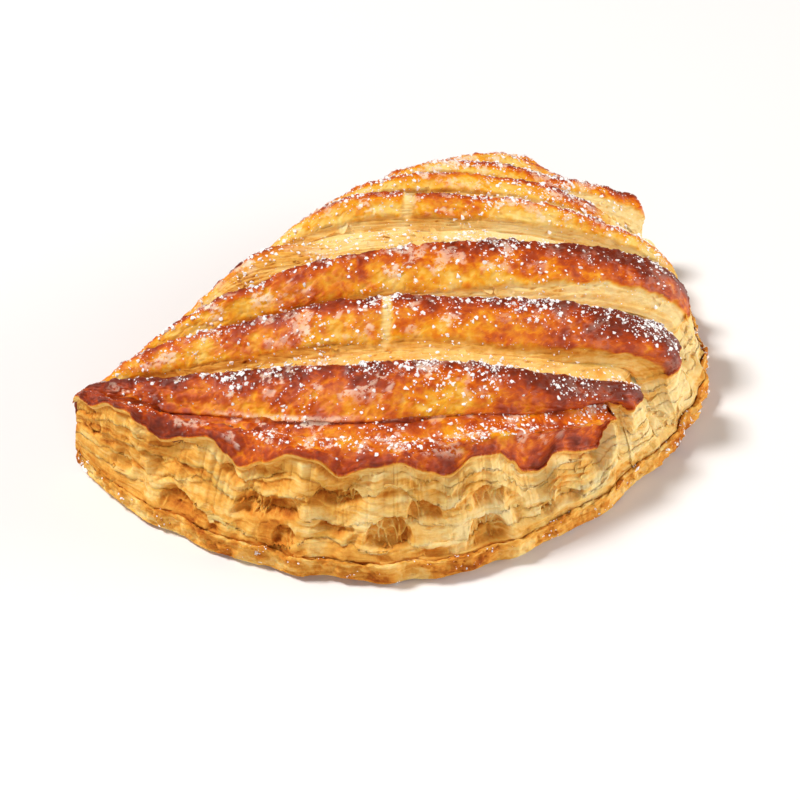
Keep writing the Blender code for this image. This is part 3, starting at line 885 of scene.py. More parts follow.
def side_wall(size, share, degrees):
    """The cut side's relief between the lip and the ledge, in mm outwards, and what its look needs."""
    still = np.zeros(share.shape)
    drop = WALL_DROP * share
    column = np.arange(len(size))[:, None]
    edges = leaf_edges(size[:, 0])
    warp = 0.02 * fractal(stack(size / 2.2, share * 9, still + 5), 105, 2)
    level = np.clip(share + warp, 0, 0.9999)
    leaf = (level[None] >= edges[1:-1, :, None]).sum(axis=0)
    low, high = edges[leaf, column], edges[leaf + 1, column]
    place = np.clip((level - low) / (high - low), 0, 1)
    kept = smoothstep(-0.35, 0.3, fractal(stack(size / 9, leaf * 3.3, still), 107, 2))
    standing = (place - 0.4) * (0.5 + 0.07 * (high - low) * WALL_DROP)
    leaves = kept * (standing + 0.3 * smoothstep(0.6, 0.97, place))

    # Pockets between the leaves, the hollows of the table, and strands across both
    sideways = size + 3.0 * fractal(stack(size / 8, drop / 5, still + 1.5), 111, 2)
    sideways = sideways + 0.22 * fractal(stack(size / 1.7, drop / 1.7, still + 4), 112, 2)
    downwards = drop + 4.2 * fractal(stack(size / 10, drop / 9, still + 2.5), 113, 2, 0.4)
    downwards = downwards + 0.14 * fractal(stack(size / 1.6, drop / 1.1, still + 6), 114, 2)
    first, second, own = cell_distances(stack(sideways / 9.0, downwards / 3.9, still + 1.7), 171)
    pocket = smoothstep(0.05, 0.50, second - first)
    opened = smoothstep(0.58, 0.72, own)
    web, beside, _ = cell_distances(stack(sideways / 1.7, downwards / 4.2, still + 2.2), 173)
    stretched = smoothstep(-0.1, 0.3, fractal(stack(size / 4, drop / 4, still + 3), 175, 2))
    hollow, foam = still.copy(), still.copy()
    for centre, height, half_width, half_height, depth, foamed in HOLLOWS:
        if degrees[0, 0] < centre < degrees[-1, 0]:
            middle = np.interp(centre, degrees[:, 0], size[:, 0])
            across = (size + 0.5 * (sideways - size) - middle) / half_width
            below = (drop + 0.35 * (downwards - drop) - WALL_DROP * height) / half_height
            below = below - 0.45 * across**2 + 0.15
            open_here = smoothstep(1.2, 0.55, np.abs(across) ** 2.4 + np.abs(below) ** 2.4)
            hollow = np.maximum(hollow, depth * open_here)
            foam = np.maximum(foam, foamed * open_here)
    closed = 1 - smoothstep(0.0, 0.3, hollow)
    strands = smoothstep(0.20, 0.03, beside - web) * (hollow + 0.4 * pocket * opened * closed) * stretched

    # Foam, threads and soft folds of the dough
    first, second, own = cell_distances(stack(sideways / 2.0, downwards / 0.95, still + 4.4), 151)
    foamy = fractal(stack(size / 7, drop / 4, still + 8), 161, 2) + 0.25 * (share - 0.5)
    foamy = smoothstep(-0.05, 0.4, foamy)
    bubbles = smoothstep(0.05, 0.36, second - first) * smoothstep(0.30, 0.55, own)
    bubbles = bubbles * np.maximum(0.35 * foamy * closed, 1.5 * foam)
    threads = fractal(stack(sideways / 7.5, downwards / 0.85, still + 9), 109, 2)
    lines = 1 - 4 * np.abs(threads)
    drapes = fractal(stack((size + 0.5 * drop) / 6.5, drop / 15, still), 131, 3, 0.4)
    folds = fractal(stack(size / 1.9, drop / 6, still + 6), 133, 2)

    # Stretched, smooth dough over the leaves
    smooth = still.copy()
    for centre, half_width, slant in BUTTRESSES:
        middle = np.interp(centre, degrees[:, 0], size[:, 0]) + slant * share
        inside = (centre > degrees[0, 0] - 6) & (centre < degrees[-1, 0] + 6)
        wide = half_width * (0.8 + 0.7 * share)
        smooth = np.maximum(smooth, inside * np.exp(-(((size - middle) / wide) ** 2)))
    right_end = smoothstep(84, 98, degrees) * (1 - 0.5 * smoothstep(0.75, 1.0, share))
    smooth = np.maximum(smooth, 0.6 * right_end)
    rough = 1 - 0.8 * smooth
    relief = 1.1 * drapes + 0.12 * folds + 0.8 * leaves * (0.4 + 0.6 * rough) * (0.3 + 0.7 * closed)
    relief = relief + 0.7 * smooth + 0.26 * threads + 0.10 * lines
    side = bpy.context.scene.turnover_side
    relief = relief - (0.25 + 0.4 * side.pocket_depth / MM * opened) * pocket * rough * closed
    relief = relief - side.pocket_depth / MM * hollow + 1.5 * strands - side.bubble_depth / MM * bubbles
    # Painted shade: darker in the pockets, hollows and bubbles, less where strands cross them
    shade = 0.3 * pocket * opened * rough * closed + 0.9 * hollow - 0.8 * strands + 0.5 * bubbles
    shade = np.clip(shade, 0, 1)
    # Painted shade just under the overhanging leaf above and in the pockets, and painted light on each leaf's
    # jutting lower edge
    tone = 0.36 - 0.08 * smoothstep(0.6, 1.0, place) * kept + 0.14 * smoothstep(0.25, 0.0, place) * kept
    # Paler towards the right end and darker towards the left tip: partly the smooth pale dough at the right,
    # partly painted light for the brighter light on that end
    tone = tone - 0.10 * smooth + 0.08 * drapes - 0.14 * threads + 0.06 * pocket - 0.20 * right_end
    tone = tone - 0.19 * smoothstep(30, 80, degrees) * (1 - 0.6 * right_end) - 0.04 * lines
    tone = tone + 0.05 * smoothstep(45, 10, degrees)
    return relief, shade, tone, place


# The cut side's pieces: name, and from where to where round the cut edge in degrees
SIDE_PIECES = (("cut_side_front", 0, 90), ("cut_side_back", 90, 180))
SIDE_COLUMNS = 860
SIDE_ROWS = 110


def build_side(name, from_degrees, to_degrees):
    """One closed piece of the cut side, from the lip down its leaves and round the base sheet's edge."""
    fine_degrees = np.linspace(0, 180, 4000)
    walk = rim_line(fine_degrees)
    lengths = np.concatenate([[0], np.cumsum(np.linalg.norm(np.diff(walk, axis=0), axis=1))])
    start, stop = np.interp([from_degrees, to_degrees], fine_degrees, lengths)
    across_line = np.linspace(start, stop, int(SIDE_COLUMNS * detail_scale()))
    degrees_line = np.interp(across_line, lengths, fine_degrees)
    down = np.linspace(0, 1, int(SIDE_ROWS * detail_scale()))
    degrees, v = np.meshgrid(degrees_line, down, indexing="ij")
    size = np.broadcast_to(across_line[:, None], degrees.shape) / MM
    crust, border_bake, border_glazed = crust_border(degrees_line)
    rim = rim_line(degrees_line) + np.array(MIDDLE)[:2]
    centre = np.array([MIDDLE[0], -WIDTH * 0.35 + MIDDLE[1]])
    inward = centre - rim
    inward /= np.linalg.norm(inward, axis=-1, keepdims=True)
    room = np.linalg.norm(rim - crust[:, :2], axis=-1)[:, None]
    lip_height = crust[:, 2][:, None]
    lift = (RIM_LIFT * (1 + 0.5 * wander(degrees_line, 31, 0.2)))[:, None]

    lip = np.clip(v / WALL_FROM, 0, 1)
    share = np.clip((v - WALL_FROM) / (WALL_TO - WALL_FROM), 0, 1)
    ledge = np.clip((v - WALL_TO) / (LEDGE_TO - WALL_TO), 0, 1)
    rim_turn = np.clip((v - LEDGE_TO) / (RIM_TO - LEDGE_TO), 0, 1) * np.pi
    under = np.clip((v - RIM_TO) / (1 - RIM_TO), 0, 1)
    parts = [v < WALL_FROM, v < WALL_TO, v < LEDGE_TO, v < RIM_TO]

    relief, shade, wall_tone, place = side_wall(size, share, degrees)
    on_wall = smoothstep(0.0, 0.025, share) * (1 - smoothstep(0.96, 1.0, share))
    roomy = smoothstep(1.0 * MM, 5 * MM, room) * 0.65 + 0.35
    ledge_width = LEDGE_WIDTH * smoothstep(0, 9, np.minimum(degrees, 180 - degrees))
    wall_out = np.maximum(0.0, room - ledge_width) * share**1.25 - WALL_RECESS + relief * MM * on_wall * roomy
    wall_top = lip_height - LIP_THICKNESS
    sag = 0.7 * MM * smoothstep(0.5, 1.0, place) * on_wall
    wall_z = wall_top + (RIM_TOP - wall_top) * share - sag

    rough = fractal(stack(size / 4, v * 16, v * 0 + 3), 181, 4)
    first, _, _ = cell_distances(stack(size / 1.3, v * 55, v * 0 + 2.2), 185)
    pores = smoothstep(0.35, 0.1, first) * smoothstep(-0.1, 0.3, rough)
    pebbles, _, own = cell_distances(stack(size / 2.1 + 0.5 * rough, v * 30, v * 0 + 6.1), 183)
    sheets = v * 62 + 1.2 * fractal(stack(size / 7, v * 6, v * 0), 187, 3)
    sheets = np.abs(2 * (sheets - np.floor(sheets)) - 1)
    grit = fractal(stack(size / 1.7, v * 30, v * 0), 189, 3)
    rim_relief = (0.55 * rough + 0.75 * grit - 0.5 * pores - 0.14 * sheets) * MM
    rim_relief = rim_relief + bpy.context.scene.turnover_side.rim_pebbles * (0.5 - pebbles)
    lip_turn = lip * np.pi
    lip_grain = fractal(stack(size / 2.4, v * 75, v * 0), 193, 3)
    lip_out = ((0.25 + 0.35 * lip_grain) * np.sin(lip_turn) - 0.5 * smoothstep(0.3, 1, lip)) * MM
    lip_z = lip_height - LIP_THICKNESS * (1 - np.cos(lip_turn)) / 2
    crease = 0.9 * MM * np.exp(-(((ledge - 0.25) / 0.22) ** 2))
    ledge_out = room - ledge_width - WALL_RECESS * (1 - ledge) + 0.6 * rim_relief * np.sin(np.pi * ledge)
    ledge_out = ledge_out + (ledge_width - RIM_ROUNDING) * ledge
    half = (RIM_TOP - lift) / 2
    rim_out = room - RIM_ROUNDING + RIM_ROUNDING * np.sin(rim_turn) ** 0.5
    rim_out = rim_out + (rim_relief - RIM_SINK) * np.sin(rim_turn)
    on_top = rim_relief * 0.8
    ledge_z = RIM_TOP - crease + on_top * smoothstep(0.15, 0.7, ledge)
    rim_z = lift + half * (1 + np.cos(rim_turn)) + on_top * np.maximum(np.cos(rim_turn), 0)
    under_out = room - RIM_ROUNDING - (BASE_INSET - RIM_ROUNDING) * under
    under_z = lift * (1 - smoothstep(0, 1, under)) + UNDERSIDE_Z * under
    out = np.select(parts, [lip_out, wall_out, ledge_out, rim_out], under_out)
    height = np.select(parts, [lip_z, wall_z, ledge_z, rim_z], under_z)
    towards_rim = (rim - crust[:, :2])[:, None, :] / np.maximum(room, 0.5 * MM)[..., None]
    outward = -inward[:, None, :] * (1 - share[..., None]) + towards_rim * share[..., None]
    flat = crust[:, None, :2] + outward * out[..., None]
    points = inside_box(np.concatenate([flat, height[..., None]], axis=-1))

    mottled = fractal(stack(size / 6, v * 9, v * 0), 191, 4)
    tone = wall_tone + 0.22 * mottled + 0.20 * smoothstep(0.8, 1.0, share)
    glaze_end = 0.34 + 0.16 * mottled
    below_glaze = smoothstep(0.15, 0.5, lip - 0.15 * mottled)
    lip_tone = border_bake[:, None] * (1 - below_glaze) + (0.34 + 0.12 * lip_grain) * below_glaze
    # Painted shade: the ledge darkens in the crease at the foot of the wall, and the rim's pores are darker
    crease_shade = np.exp(-(((ledge - 0.3) / 0.35) ** 2)) * (v < LEDGE_TO)
    rim_tone = 0.49 + 0.34 * mottled + 0.24 * rough + 0.25 * pores + 0.16 * (own - 0.5) + 0.3 * crease_shade
    tone = np.select(parts[:2], [lip_tone, tone], rim_tone)
    glazed = border_glazed[:, None] * (1 - smoothstep(glaze_end - 0.1, glaze_end + 0.1, lip))
    glazed = np.where(parts[0], glazed, 0.0)
    back = np.stack([points[:, 0], points[:, -1]])
    back[0, :, :2] += 7 * MM * inward
    back[0, :, 2] -= 1.5 * MM
    back[1, :, :2] += 2 * MM * inward
    back[1, :, 2] += 1.5 * MM
    attributes = {
        "bake": np.clip(tone, 0, 1),
        "glazed": glazed,
        # Painted shade in the cut side's pockets, hollows and bubbles
        "hollow": np.where(parts[1] & ~parts[0], shade * on_wall, 0),
        "sugar": 0.10 * parts[3] * ~parts[1] * smoothstep(0, 0.4, rough),
        "flaky": (0.15 + smoothstep(0.6, 1.0, place)) * parts[1] * ~parts[0] * smoothstep(-0.2, 0.4, mottled),
    }
    return closed_strip(name, points, back, attributes)


def build_underside():
    """The flat, pale brown underside that the pastry lies on, closed over the open middle."""
    degrees = np.linspace(0, 180, 181)
    edge = outline(degrees, BASE_INSET - 1.5 * MM) + np.array(MIDDLE)[:2]
    fold_x = np.linspace(edge[-1, 0], edge[0, 0], 41)[1:-1]
    fold = stack(fold_x, fold_line_y(fold_x - MIDDLE[0]) + MIDDLE[1] - BASE_INSET + 1.5 * MM)
    loop = np.concatenate([edge, fold])
    loop[:, 1] = np.minimum(loop[:, 1], MIDDLE[1] - BASE_INSET + 3.5 * MM)
    middle = loop.mean(axis=0)
    rings = [1.0, 0.75, 0.5, 0.25]
    flat = np.concatenate([middle + (loop - middle) * ring for ring in rings] + [middle[None]])
    bumps = 0.12 * MM * fractal(stack(flat[:, 0] / (9 * MM), flat[:, 1] / (9 * MM), 0), 201, 3)
    low = stack(flat[:, 0], flat[:, 1], 0.2 * MM + np.maximum(bumps, -0.1 * MM))
    high = low + np.array([0, 0, UNDERSIDE_THICKNESS])
    count, total = len(loop), len(flat)
    faces = []
    for ring in range(len(rings) - 1):
        for i in range(count):
            j = (i + 1) % count
            a, b = ring * count, (ring + 1) * count
            faces.append((a + i, b + i, b + j, a + j))
            faces.append((total + a + i, total + a + j, total + b + j, total + b + i))
    last = (len(rings) - 1) * count
    for i in range(count):
        j = (i + 1) % count
        faces.append((last + i, total - 1, last + j))
        faces.append((total + last + i, total + last + j, 2 * total - 1))
        faces.append((i, j, total + j, total + i))
    mesh = bpy.data.meshes.new("underside")
    mesh.from_pydata(np.concatenate([low, high]).tolist(), [], faces)
    for key, value in (("bake", 0.5), ("glazed", 0.0), ("hollow", 0.1)):
        mesh.attributes.new(key, "FLOAT", "POINT").data.foreach_set("value", [value] * len(mesh.vertices))
    return finish_mesh(mesh)


def finish_mesh(mesh):
    """Turns a mesh's faces outwards and puts it in the scene as an object of the same name."""
    shape = bmesh.new()
    shape.from_mesh(mesh)
    bmesh.ops.recalc_face_normals(shape, faces=shape.faces)
    if shape.calc_volume(signed=True) < 0:
        bmesh.ops.reverse_faces(shape, faces=shape.faces)
    shape.to_mesh(mesh)
    shape.free()
    mesh.shade_smooth()
    obj = bpy.data.objects.new(mesh.name, mesh)
    bpy.context.scene.collection.objects.link(obj)
    return obj


# Icing sugar and loose flakes, laid by geometry nodes


def grain_mesh(name, seed, squash, spread=0.25):
    """One irregular lump of icing sugar, about one unit across."""
    dice = np.random.default_rng(seed)
    spots = dice.normal(size=(9, 3))
    spots /= np.linalg.norm(spots, axis=1, keepdims=True)
    spots *= 0.5 * (1 - spread * dice.random((9, 1)))
    spots[:, 2] *= squash
    shape = bmesh.new()
    for spot in spots:
        shape.verts.new(spot)
    hull = bmesh.ops.convex_hull(shape, input=shape.verts)
    bmesh.ops.delete(shape, geom=[v for v in hull["geom_interior"] if v.is_valid], context="VERTS")
    bmesh.ops.recalc_face_normals(shape, faces=shape.faces)
    mesh = bpy.data.meshes.new(name)
    shape.to_mesh(mesh)
    shape.free()
    return bpy.data.objects.new(name, mesh)


def flake_mesh(name, seed):
    """One thin curled flake of pastry, about one unit long, with a ragged edge."""
    dice = np.random.default_rng(seed)
    across, along, thick = 4, 6, 0.05
    x, y = np.meshgrid(np.linspace(-0.5, 0.5, along), np.linspace(-0.25, 0.25, across), indexing="ij")
    y = y * (1 - 1.6 * x**2) * (1 + 0.35 * dice.random(x.shape))
    z = 0.35 * x**2 + 0.5 * y**2 + 0.04 * dice.random(x.shape)
    upper = stack(x, y, z + thick / 2).reshape(-1, 3)
    lower = stack(x, y, z - thick / 2).reshape(-1, 3)
    index = np.arange(along * across).reshape(along, across)
    total = along * across
    faces = []
    for i in range(along - 1):
        for j in range(across - 1):
            quad = (index[i, j], index[i + 1, j], index[i + 1, j + 1], index[i, j + 1])
            faces.append(quad)
            faces.append(tuple(total + k for k in reversed(quad)))
    ring = [*index[0, :-1], *index[:-1, -1], *index[-1, :0:-1], *index[:0:-1, 0]]
    for a, b in zip(ring, ring[1:] + ring[:1]):
        faces.append((b, a, total + a, total + b))
    mesh = bpy.data.meshes.new(name)
    mesh.from_pydata(np.concatenate([upper, lower]).tolist(), [], [tuple(int(k) for k in f) for f in faces])
    shape = bmesh.new()
    shape.from_mesh(mesh)
    bmesh.ops.recalc_face_normals(shape, faces=shape.faces)
    shape.to_mesh(mesh)
    shape.free()
    return bpy.data.objects.new(name, mesh)


def scatter_tree():
    """Geometry nodes that lay shapes on a surface, more thickly where the named measure is higher."""
    tree = bpy.data.node_groups.new("lay_on_surface", "GeometryNodeTree")
    link = tree.links.new
    sockets = {}
    wanted = (
        ("Surface", "NodeSocketObject"),
        ("Shapes", "NodeSocketCollection"),
        ("Measure", "NodeSocketString"),
        ("Density", "NodeSocketFloat"),
        ("Smallest", "NodeSocketFloat"),
        ("Largest", "NodeSocketFloat"),
        ("Sink", "NodeSocketFloat"),
        ("Tilt", "NodeSocketFloat"),
        ("Seed", "NodeSocketInt"),
        ("Finish", "NodeSocketMaterial"),
    )
    tree.interface.new_socket("Geometry", in_out="OUTPUT", socket_type="NodeSocketGeometry")
    for label, kind in wanted:
        sockets[label] = tree.interface.new_socket(label, in_out="INPUT", socket_type=kind).identifier
    start = tree.nodes.new("NodeGroupInput")
    end = tree.nodes.new("NodeGroupOutput")

    def add(kind, **settings):
        node = tree.nodes.new(kind)
        for key, value in settings.items():
            setattr(node, key, value)
        return node

    surface = add("GeometryNodeObjectInfo", transform_space="RELATIVE")
    link(start.outputs["Surface"], surface.inputs["Object"])
    measure = add("GeometryNodeInputNamedAttribute", data_type="FLOAT")
    link(start.outputs["Measure"], measure.inputs["Name"])
    density = add("ShaderNodeMath", operation="MULTIPLY")
    link(measure.outputs["Attribute"], density.inputs[0])
    link(start.outputs["Density"], density.inputs[1])
    spread = add("GeometryNodeDistributePointsOnFaces", distribute_method="RANDOM")
    link(surface.outputs["Geometry"], spread.inputs["Mesh"])
    link(density.outputs[0], spread.inputs["Density"])
    link(start.outputs["Seed"], spread.inputs["Seed"])
    shapes = add("GeometryNodeCollectionInfo")
    shapes.inputs["Separate Children"].default_value = True
    shapes.inputs["Reset Children"].default_value = True
    link(start.outputs["Shapes"], shapes.inputs["Collection"])
    lay = add("GeometryNodeInstanceOnPoints")
    lay.inputs["Pick Instance"].default_value = True
    link(shapes.outputs["Instances"], lay.inputs["Instance"])
    link(spread.outputs["Rotation"], lay.inputs["Rotation"])
    size = add("FunctionNodeRandomValue", data_type="FLOAT")
    small = add("ShaderNodeMath", operation="POWER")
    small.inputs[1].default_value = 2.2
    size.inputs[2].default_value, size.inputs[3].default_value = 0.0, 1.0
    link(start.outputs["Seed"], size.inputs["Seed"])
    link(size.outputs[1], small.inputs[0])
    span = add("ShaderNodeMapRange")
    link(small.outputs[0], span.inputs["Value"])
    link(start.outputs["Smallest"], span.inputs["To Min"])
    link(start.outputs["Largest"], span.inputs["To Max"])
    link(span.outputs["Result"], lay.inputs["Scale"])
    turn = add("FunctionNodeRandomValue", data_type="FLOAT_VECTOR")
    tilt = add("ShaderNodeCombineXYZ")
    tilt.inputs["Z"].default_value = math.pi
    link(start.outputs["Tilt"], tilt.inputs["X"])
    link(start.outputs["Tilt"], tilt.inputs["Y"])
    back = add("ShaderNodeVectorMath", operation="SCALE")
    back.inputs["Scale"].default_value = -1.0
    link(tilt.outputs[0], back.inputs[0])
    link(back.outputs[0], turn.inputs[0])
    link(tilt.outputs[0], turn.inputs[1])
    twist = add("GeometryNodeRotateInstances")
    link(lay.outputs["Instances"], twist.inputs["Instances"])
    link(turn.outputs[0], twist.inputs["Rotation"])
    sink = add("ShaderNodeVectorMath", operation="SCALE")
    link(spread.outputs["Normal"], sink.inputs[0])
    link(start.outputs["Sink"], sink.inputs["Scale"])
    lower = add("GeometryNodeSetPosition")
    real = add("GeometryNodeRealizeInstances")
    link(spread.outputs["Points"], lower.inputs["Geometry"])
    link(sink.outputs[0], lower.inputs["Offset"])
    link(lower.outputs["Geometry"], lay.inputs["Points"])
    link(twist.outputs["Instances"], real.inputs["Geometry"])
    finish = add("GeometryNodeSetMaterial")
    link(real.outputs["Geometry"], finish.inputs["Geometry"])
    link(start.outputs["Finish"], finish.inputs["Material"])
    link(finish.outputs["Geometry"], end.inputs["Geometry"])
    return tree, sockets


def lay_on(name, surface, shapes, finish, tree, sockets, **values):
    """Runs the nodes over one surface and keeps the result as a plain mesh."""
    holder = bpy.data.objects.new(name + "_nodes", bpy.data.meshes.new(name + "_nodes"))
    bpy.context.scene.collection.objects.link(holder)
    modifier = holder.modifiers.new("lay", "NODES")
    modifier.node_group = tree
    for label, value in (("Surface", surface), ("Shapes", shapes), ("Finish", finish), *values.items()):
        modifier[sockets[label]] = value
    holder.update_tag()
    bpy.context.view_layer.update()
    graph = bpy.context.evaluated_depsgraph_get()
    mesh = bpy.data.meshes.new_from_object(holder.evaluated_get(graph))
    bpy.data.objects.remove(holder)
    mesh.name = name
    return mesh


def joined(name, meshes):
    """One object out of several meshes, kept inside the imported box."""
    shape = bmesh.new()
    for mesh in meshes:
        shape.from_mesh(mesh)
    result = bpy.data.meshes.new(name)
    shape.to_mesh(result)
    shape.free()
    points = np.empty(len(result.vertices) * 3, np.float32)
    result.vertices.foreach_get("co", points)
    result.vertices.foreach_set("co", inside_box(points.reshape(-1, 3)).astype(np.float32).ravel())
    obj = bpy.data.objects.new(name, result)
    bpy.context.scene.collection.objects.link(obj)
    return obj


def shapes_collection(name, objects):
    collection = bpy.data.collections.new(name)
    for obj in objects:
        collection.objects.link(obj)
    return collection


def dusted_pieces():
    return [bpy.data.objects[piece[0]] for piece in (*CRUST_PIECES, *SIDE_PIECES)]


def build_flakes(surfaces):
    flakes = shapes_collection("loose_flakes", [flake_mesh(f"flake_{i}", 70 + i) for i in range(4)])
    tree, sockets = scatter_tree()
    density = bpy.context.scene.turnover_sugar.flakes
    layers = []
    for number, surface in enumerate(surfaces):
        layers.append(
            lay_on(
                "flakes", surface, flakes, pastry_material(), tree, sockets, Measure="flaky", Density=density,
                Smallest=0.8 * MM, Largest=3.0 * MM, Sink=-0.02 * MM, Tilt=0.55, Seed=31 + number,
            )
        )
    return joined("crust_flakes", layers)


def build_sugar(name, density, smallest, largest, seed):
    lumps = shapes_collection("sugar_lumps", [grain_mesh(f"lump_{i}", 40 + i, 0.6) for i in range(5)])
    tree, sockets = scatter_tree()
    layers = []
    for number, surface in enumerate(dusted_pieces()):
        layers.append(
            lay_on(
                "grains", surface, lumps, sugar_material(), tree, sockets, Measure="sugar", Density=density,
                Smallest=smallest, Largest=largest, Sink=0.05 * MM, Tilt=0.5, Seed=seed + number,
            )
        )
    return joined(name, layers)


# Stage

CAMERA_PLACE = (-0.3069, -0.2590, 0.2821)
CAMERA_AHEAD = (0.7407, 0.6718)
CAMERA_DOWN_DEGREES = 35
TABLE_HALF_SIZE = 6.0
WORLD_COLOUR = (1.0, 0.98, 0.96, 1.0)
WORLD_STRENGTH = 0.155
LIGHTS_AIM = (0, 0, 0.02)
# The lights: name, place, width and height, colour, and the setting that holds the power
LIGHTS = (
    ("key_softbox", (-0.68, 1.02, 1.75), (0.5, 0.5), (1.0, 0.99, 0.97), "key_power"),
    ("front_softbox", (-0.95, -0.95, 0.7), (0.9, 0.7), (1.0, 0.97, 0.94), "front_power"),
    ("side_fill", (1.2, -1.2, 0.4), (1.2, 0.7), (1.0, 0.955, 0.92), "fill_power"),
)


def add_light(name, place, size, colour, power):
    data = bpy.data.lights.new(name, "AREA")
    data.shape = "RECTANGLE"
    data.size, data.size_y = size
    data.energy = power
    data.color = colour
    lamp = bpy.data.objects.new(name, data)
    lamp.location = place
    lamp.rotation_euler = (Vector(LIGHTS_AIM) - Vector(place)).to_track_quat("-Z", "Y").to_euler()
    bpy.context.scene.collection.objects.link(lamp)


def build_stage():
    scene = bpy.context.scene
    studio = scene.turnover_stage
    mesh = bpy.data.meshes.new("floor")
    half = TABLE_HALF_SIZE
    corners = [(-half, -half, 0), (half, -half, 0), (half, half, 0), (-half, half, 0)]
    mesh.from_pydata(corners, [], [(0, 1, 2, 3)])
    floor = bpy.data.objects.new("floor", mesh)
    scene.collection.objects.link(floor)
    make = Nodes("white_table")
    make.put(make.surface.inputs["Base Color"], studio.table)
    make.put(make.surface.inputs["Roughness"], 0.6)
    make.put(make.surface.inputs["Specular IOR Level"], 0.1)
    mesh.materials.append(make.material)
    world = scene.world or bpy.data.worlds.new("studio")
    scene.world = world
    world.use_nodes = True
    background = world.node_tree.nodes["Background"].inputs
    background["Color"].default_value = WORLD_COLOUR
    background["Strength"].default_value = WORLD_STRENGTH
    for name, place, size, colour, power in LIGHTS:
        add_light(name, place, size, colour, getattr(studio, power))
    data = bpy.data.cameras.new("camera")
    data.lens = studio.lens
    data.sensor_width = 36
    data.clip_start, data.clip_end = 0.01, 20
    camera = bpy.data.objects.new("camera", data)
    down = math.radians(CAMERA_DOWN_DEGREES)
    ahead = Vector((*(math.cos(down) * v for v in CAMERA_AHEAD), -math.sin(down)))
    camera.location = CAMERA_PLACE
    camera.rotation_euler = ahead.to_track_quat("-Z", "Y").to_euler()
    scene.collection.objects.link(camera)
    scene.camera = camera
    scene.view_settings.view_transform = "Standard"


class TurnoverCrustSettings(bpy.types.PropertyGroup):
    """How the glazed top crust is baked"""

    bubble_height: FloatProperty(
        name="Bubble Height",
        description="How far the bubbles in the glaze stand up",
        default=0.55 * MM,
        min=0.0,
        soft_max=2 * MM,
        unit="LENGTH",
        precision=5,
    )
    wrinkle_height: FloatProperty(
        name="Wrinkle Height",
        description="How deep the fine wrinkles in the glaze are",
        default=0.22 * MM,
        min=0.0,
        soft_max=1 * MM,
        unit="LENGTH",
        precision=5,
    )
    browning: FloatProperty(
        name="Browning",
        description="Added to how brown the glaze is: below zero is paler, above zero is darker",
        default=0.0,
        min=-0.4,
        max=0.4,
        subtype="FACTOR",
    )


class TurnoverSideSettings(bpy.types.PropertyGroup):
    """How open the cut side is, and how rough the base sheet's edge"""

    pocket_depth: FloatProperty(
        name="Pocket Depth",
        description="How deep the large pockets between the leaves go",
        default=2.8 * MM,
        min=0.0,
        soft_max=4 * MM,
        unit="LENGTH",
        precision=5,
    )
    bubble_depth: FloatProperty(
        name="Bubble Depth",
        description="How deep the small bubbles in the stretched dough go",
        default=0.6 * MM,
        min=0.0,
        soft_max=2 * MM,
        unit="LENGTH",
        precision=5,
    )
    rim_pebbles: FloatProperty(
        name="Rim Roughness",
        description="How far the pebbled edge of the base sheet stands out and in",
        default=1.1 * MM,
        min=0.0,
        soft_max=2 * MM,
        unit="LENGTH",
        precision=5,
    )


class TurnoverSugarSettings(bpy.types.PropertyGroup):
    """The icing sugar and the loose flakes"""

    clumps: FloatProperty(
        name="Clumps",
        description="Clumps of sugar to a square metre of crest",
        default=2.2e6,
        min=0.0,
    )
    largest_clump: FloatProperty(
        name="Largest Clump",
        description="Length of the largest clump of sugar",
        default=1.5 * MM,
        min=0.5 * MM,
        soft_max=3 * MM,
        unit="LENGTH",
        precision=5,
    )
    grains: FloatProperty(
        name="Fine Grains",
        description="Fine grains of sugar to a square metre of crest",
        default=4.8e6,
        min=0.0,
    )
    largest_grain: FloatProperty(
        name="Largest Grain",
        description="Length of the largest fine grain",
        default=0.6 * MM,
        min=0.2 * MM,
        soft_max=1 * MM,
        unit="LENGTH",
        precision=5,
    )
    flakes: FloatProperty(
        name="Loose Flakes",
        description="Loose flakes of pastry to a square metre of pale dough",
        default=1.6e5,
        min=0.0,
    )
    seed: IntProperty(name="Seed", description="Changes where the sugar falls", default=7, min=0)


class TurnoverColourSettings(bpy.types.PropertyGroup):
    """The colours of the bake, from palest to darkest, and of the sugar"""

    cream: FloatVectorProperty(
        name="Cream", description="The palest dough", subtype="COLOR", size=4, min=0, max=1,
        default=rgb(251, 222, 158),
    )
    golden: FloatVectorProperty(
        name="Golden", description="Lightly baked glaze", subtype="COLOR", size=4, min=0, max=1,
        default=rgb(238, 166, 30),
    )
    amber: FloatVectorProperty(
        name="Amber", description="Well baked glaze", subtype="COLOR", size=4, min=0, max=1,
        default=rgb(228, 132, 8),
    )
    brown: FloatVectorProperty(
        name="Brown", description="Glaze on the crests", subtype="COLOR", size=4, min=0, max=1,
        default=rgb(172, 60, 4),
    )
    darkest: FloatVectorProperty(
        name="Darkest", description="The most baked spots", subtype="COLOR", size=4, min=0, max=1,
        default=rgb(112, 34, 6),
    )
    # Also the colour of the painted highlight line beside the slit
    melted_sugar: FloatVectorProperty(
        name="Melted Sugar", description="Sugar melted into the glaze", subtype="COLOR", size=4, min=0, max=1,
        default=rgb(252, 224, 198),
    )
    sugar: FloatVectorProperty(
        name="Icing Sugar", description="Loose icing sugar", subtype="COLOR", size=4, min=0, max=1,
        default=rgb(253, 248, 246),
    )


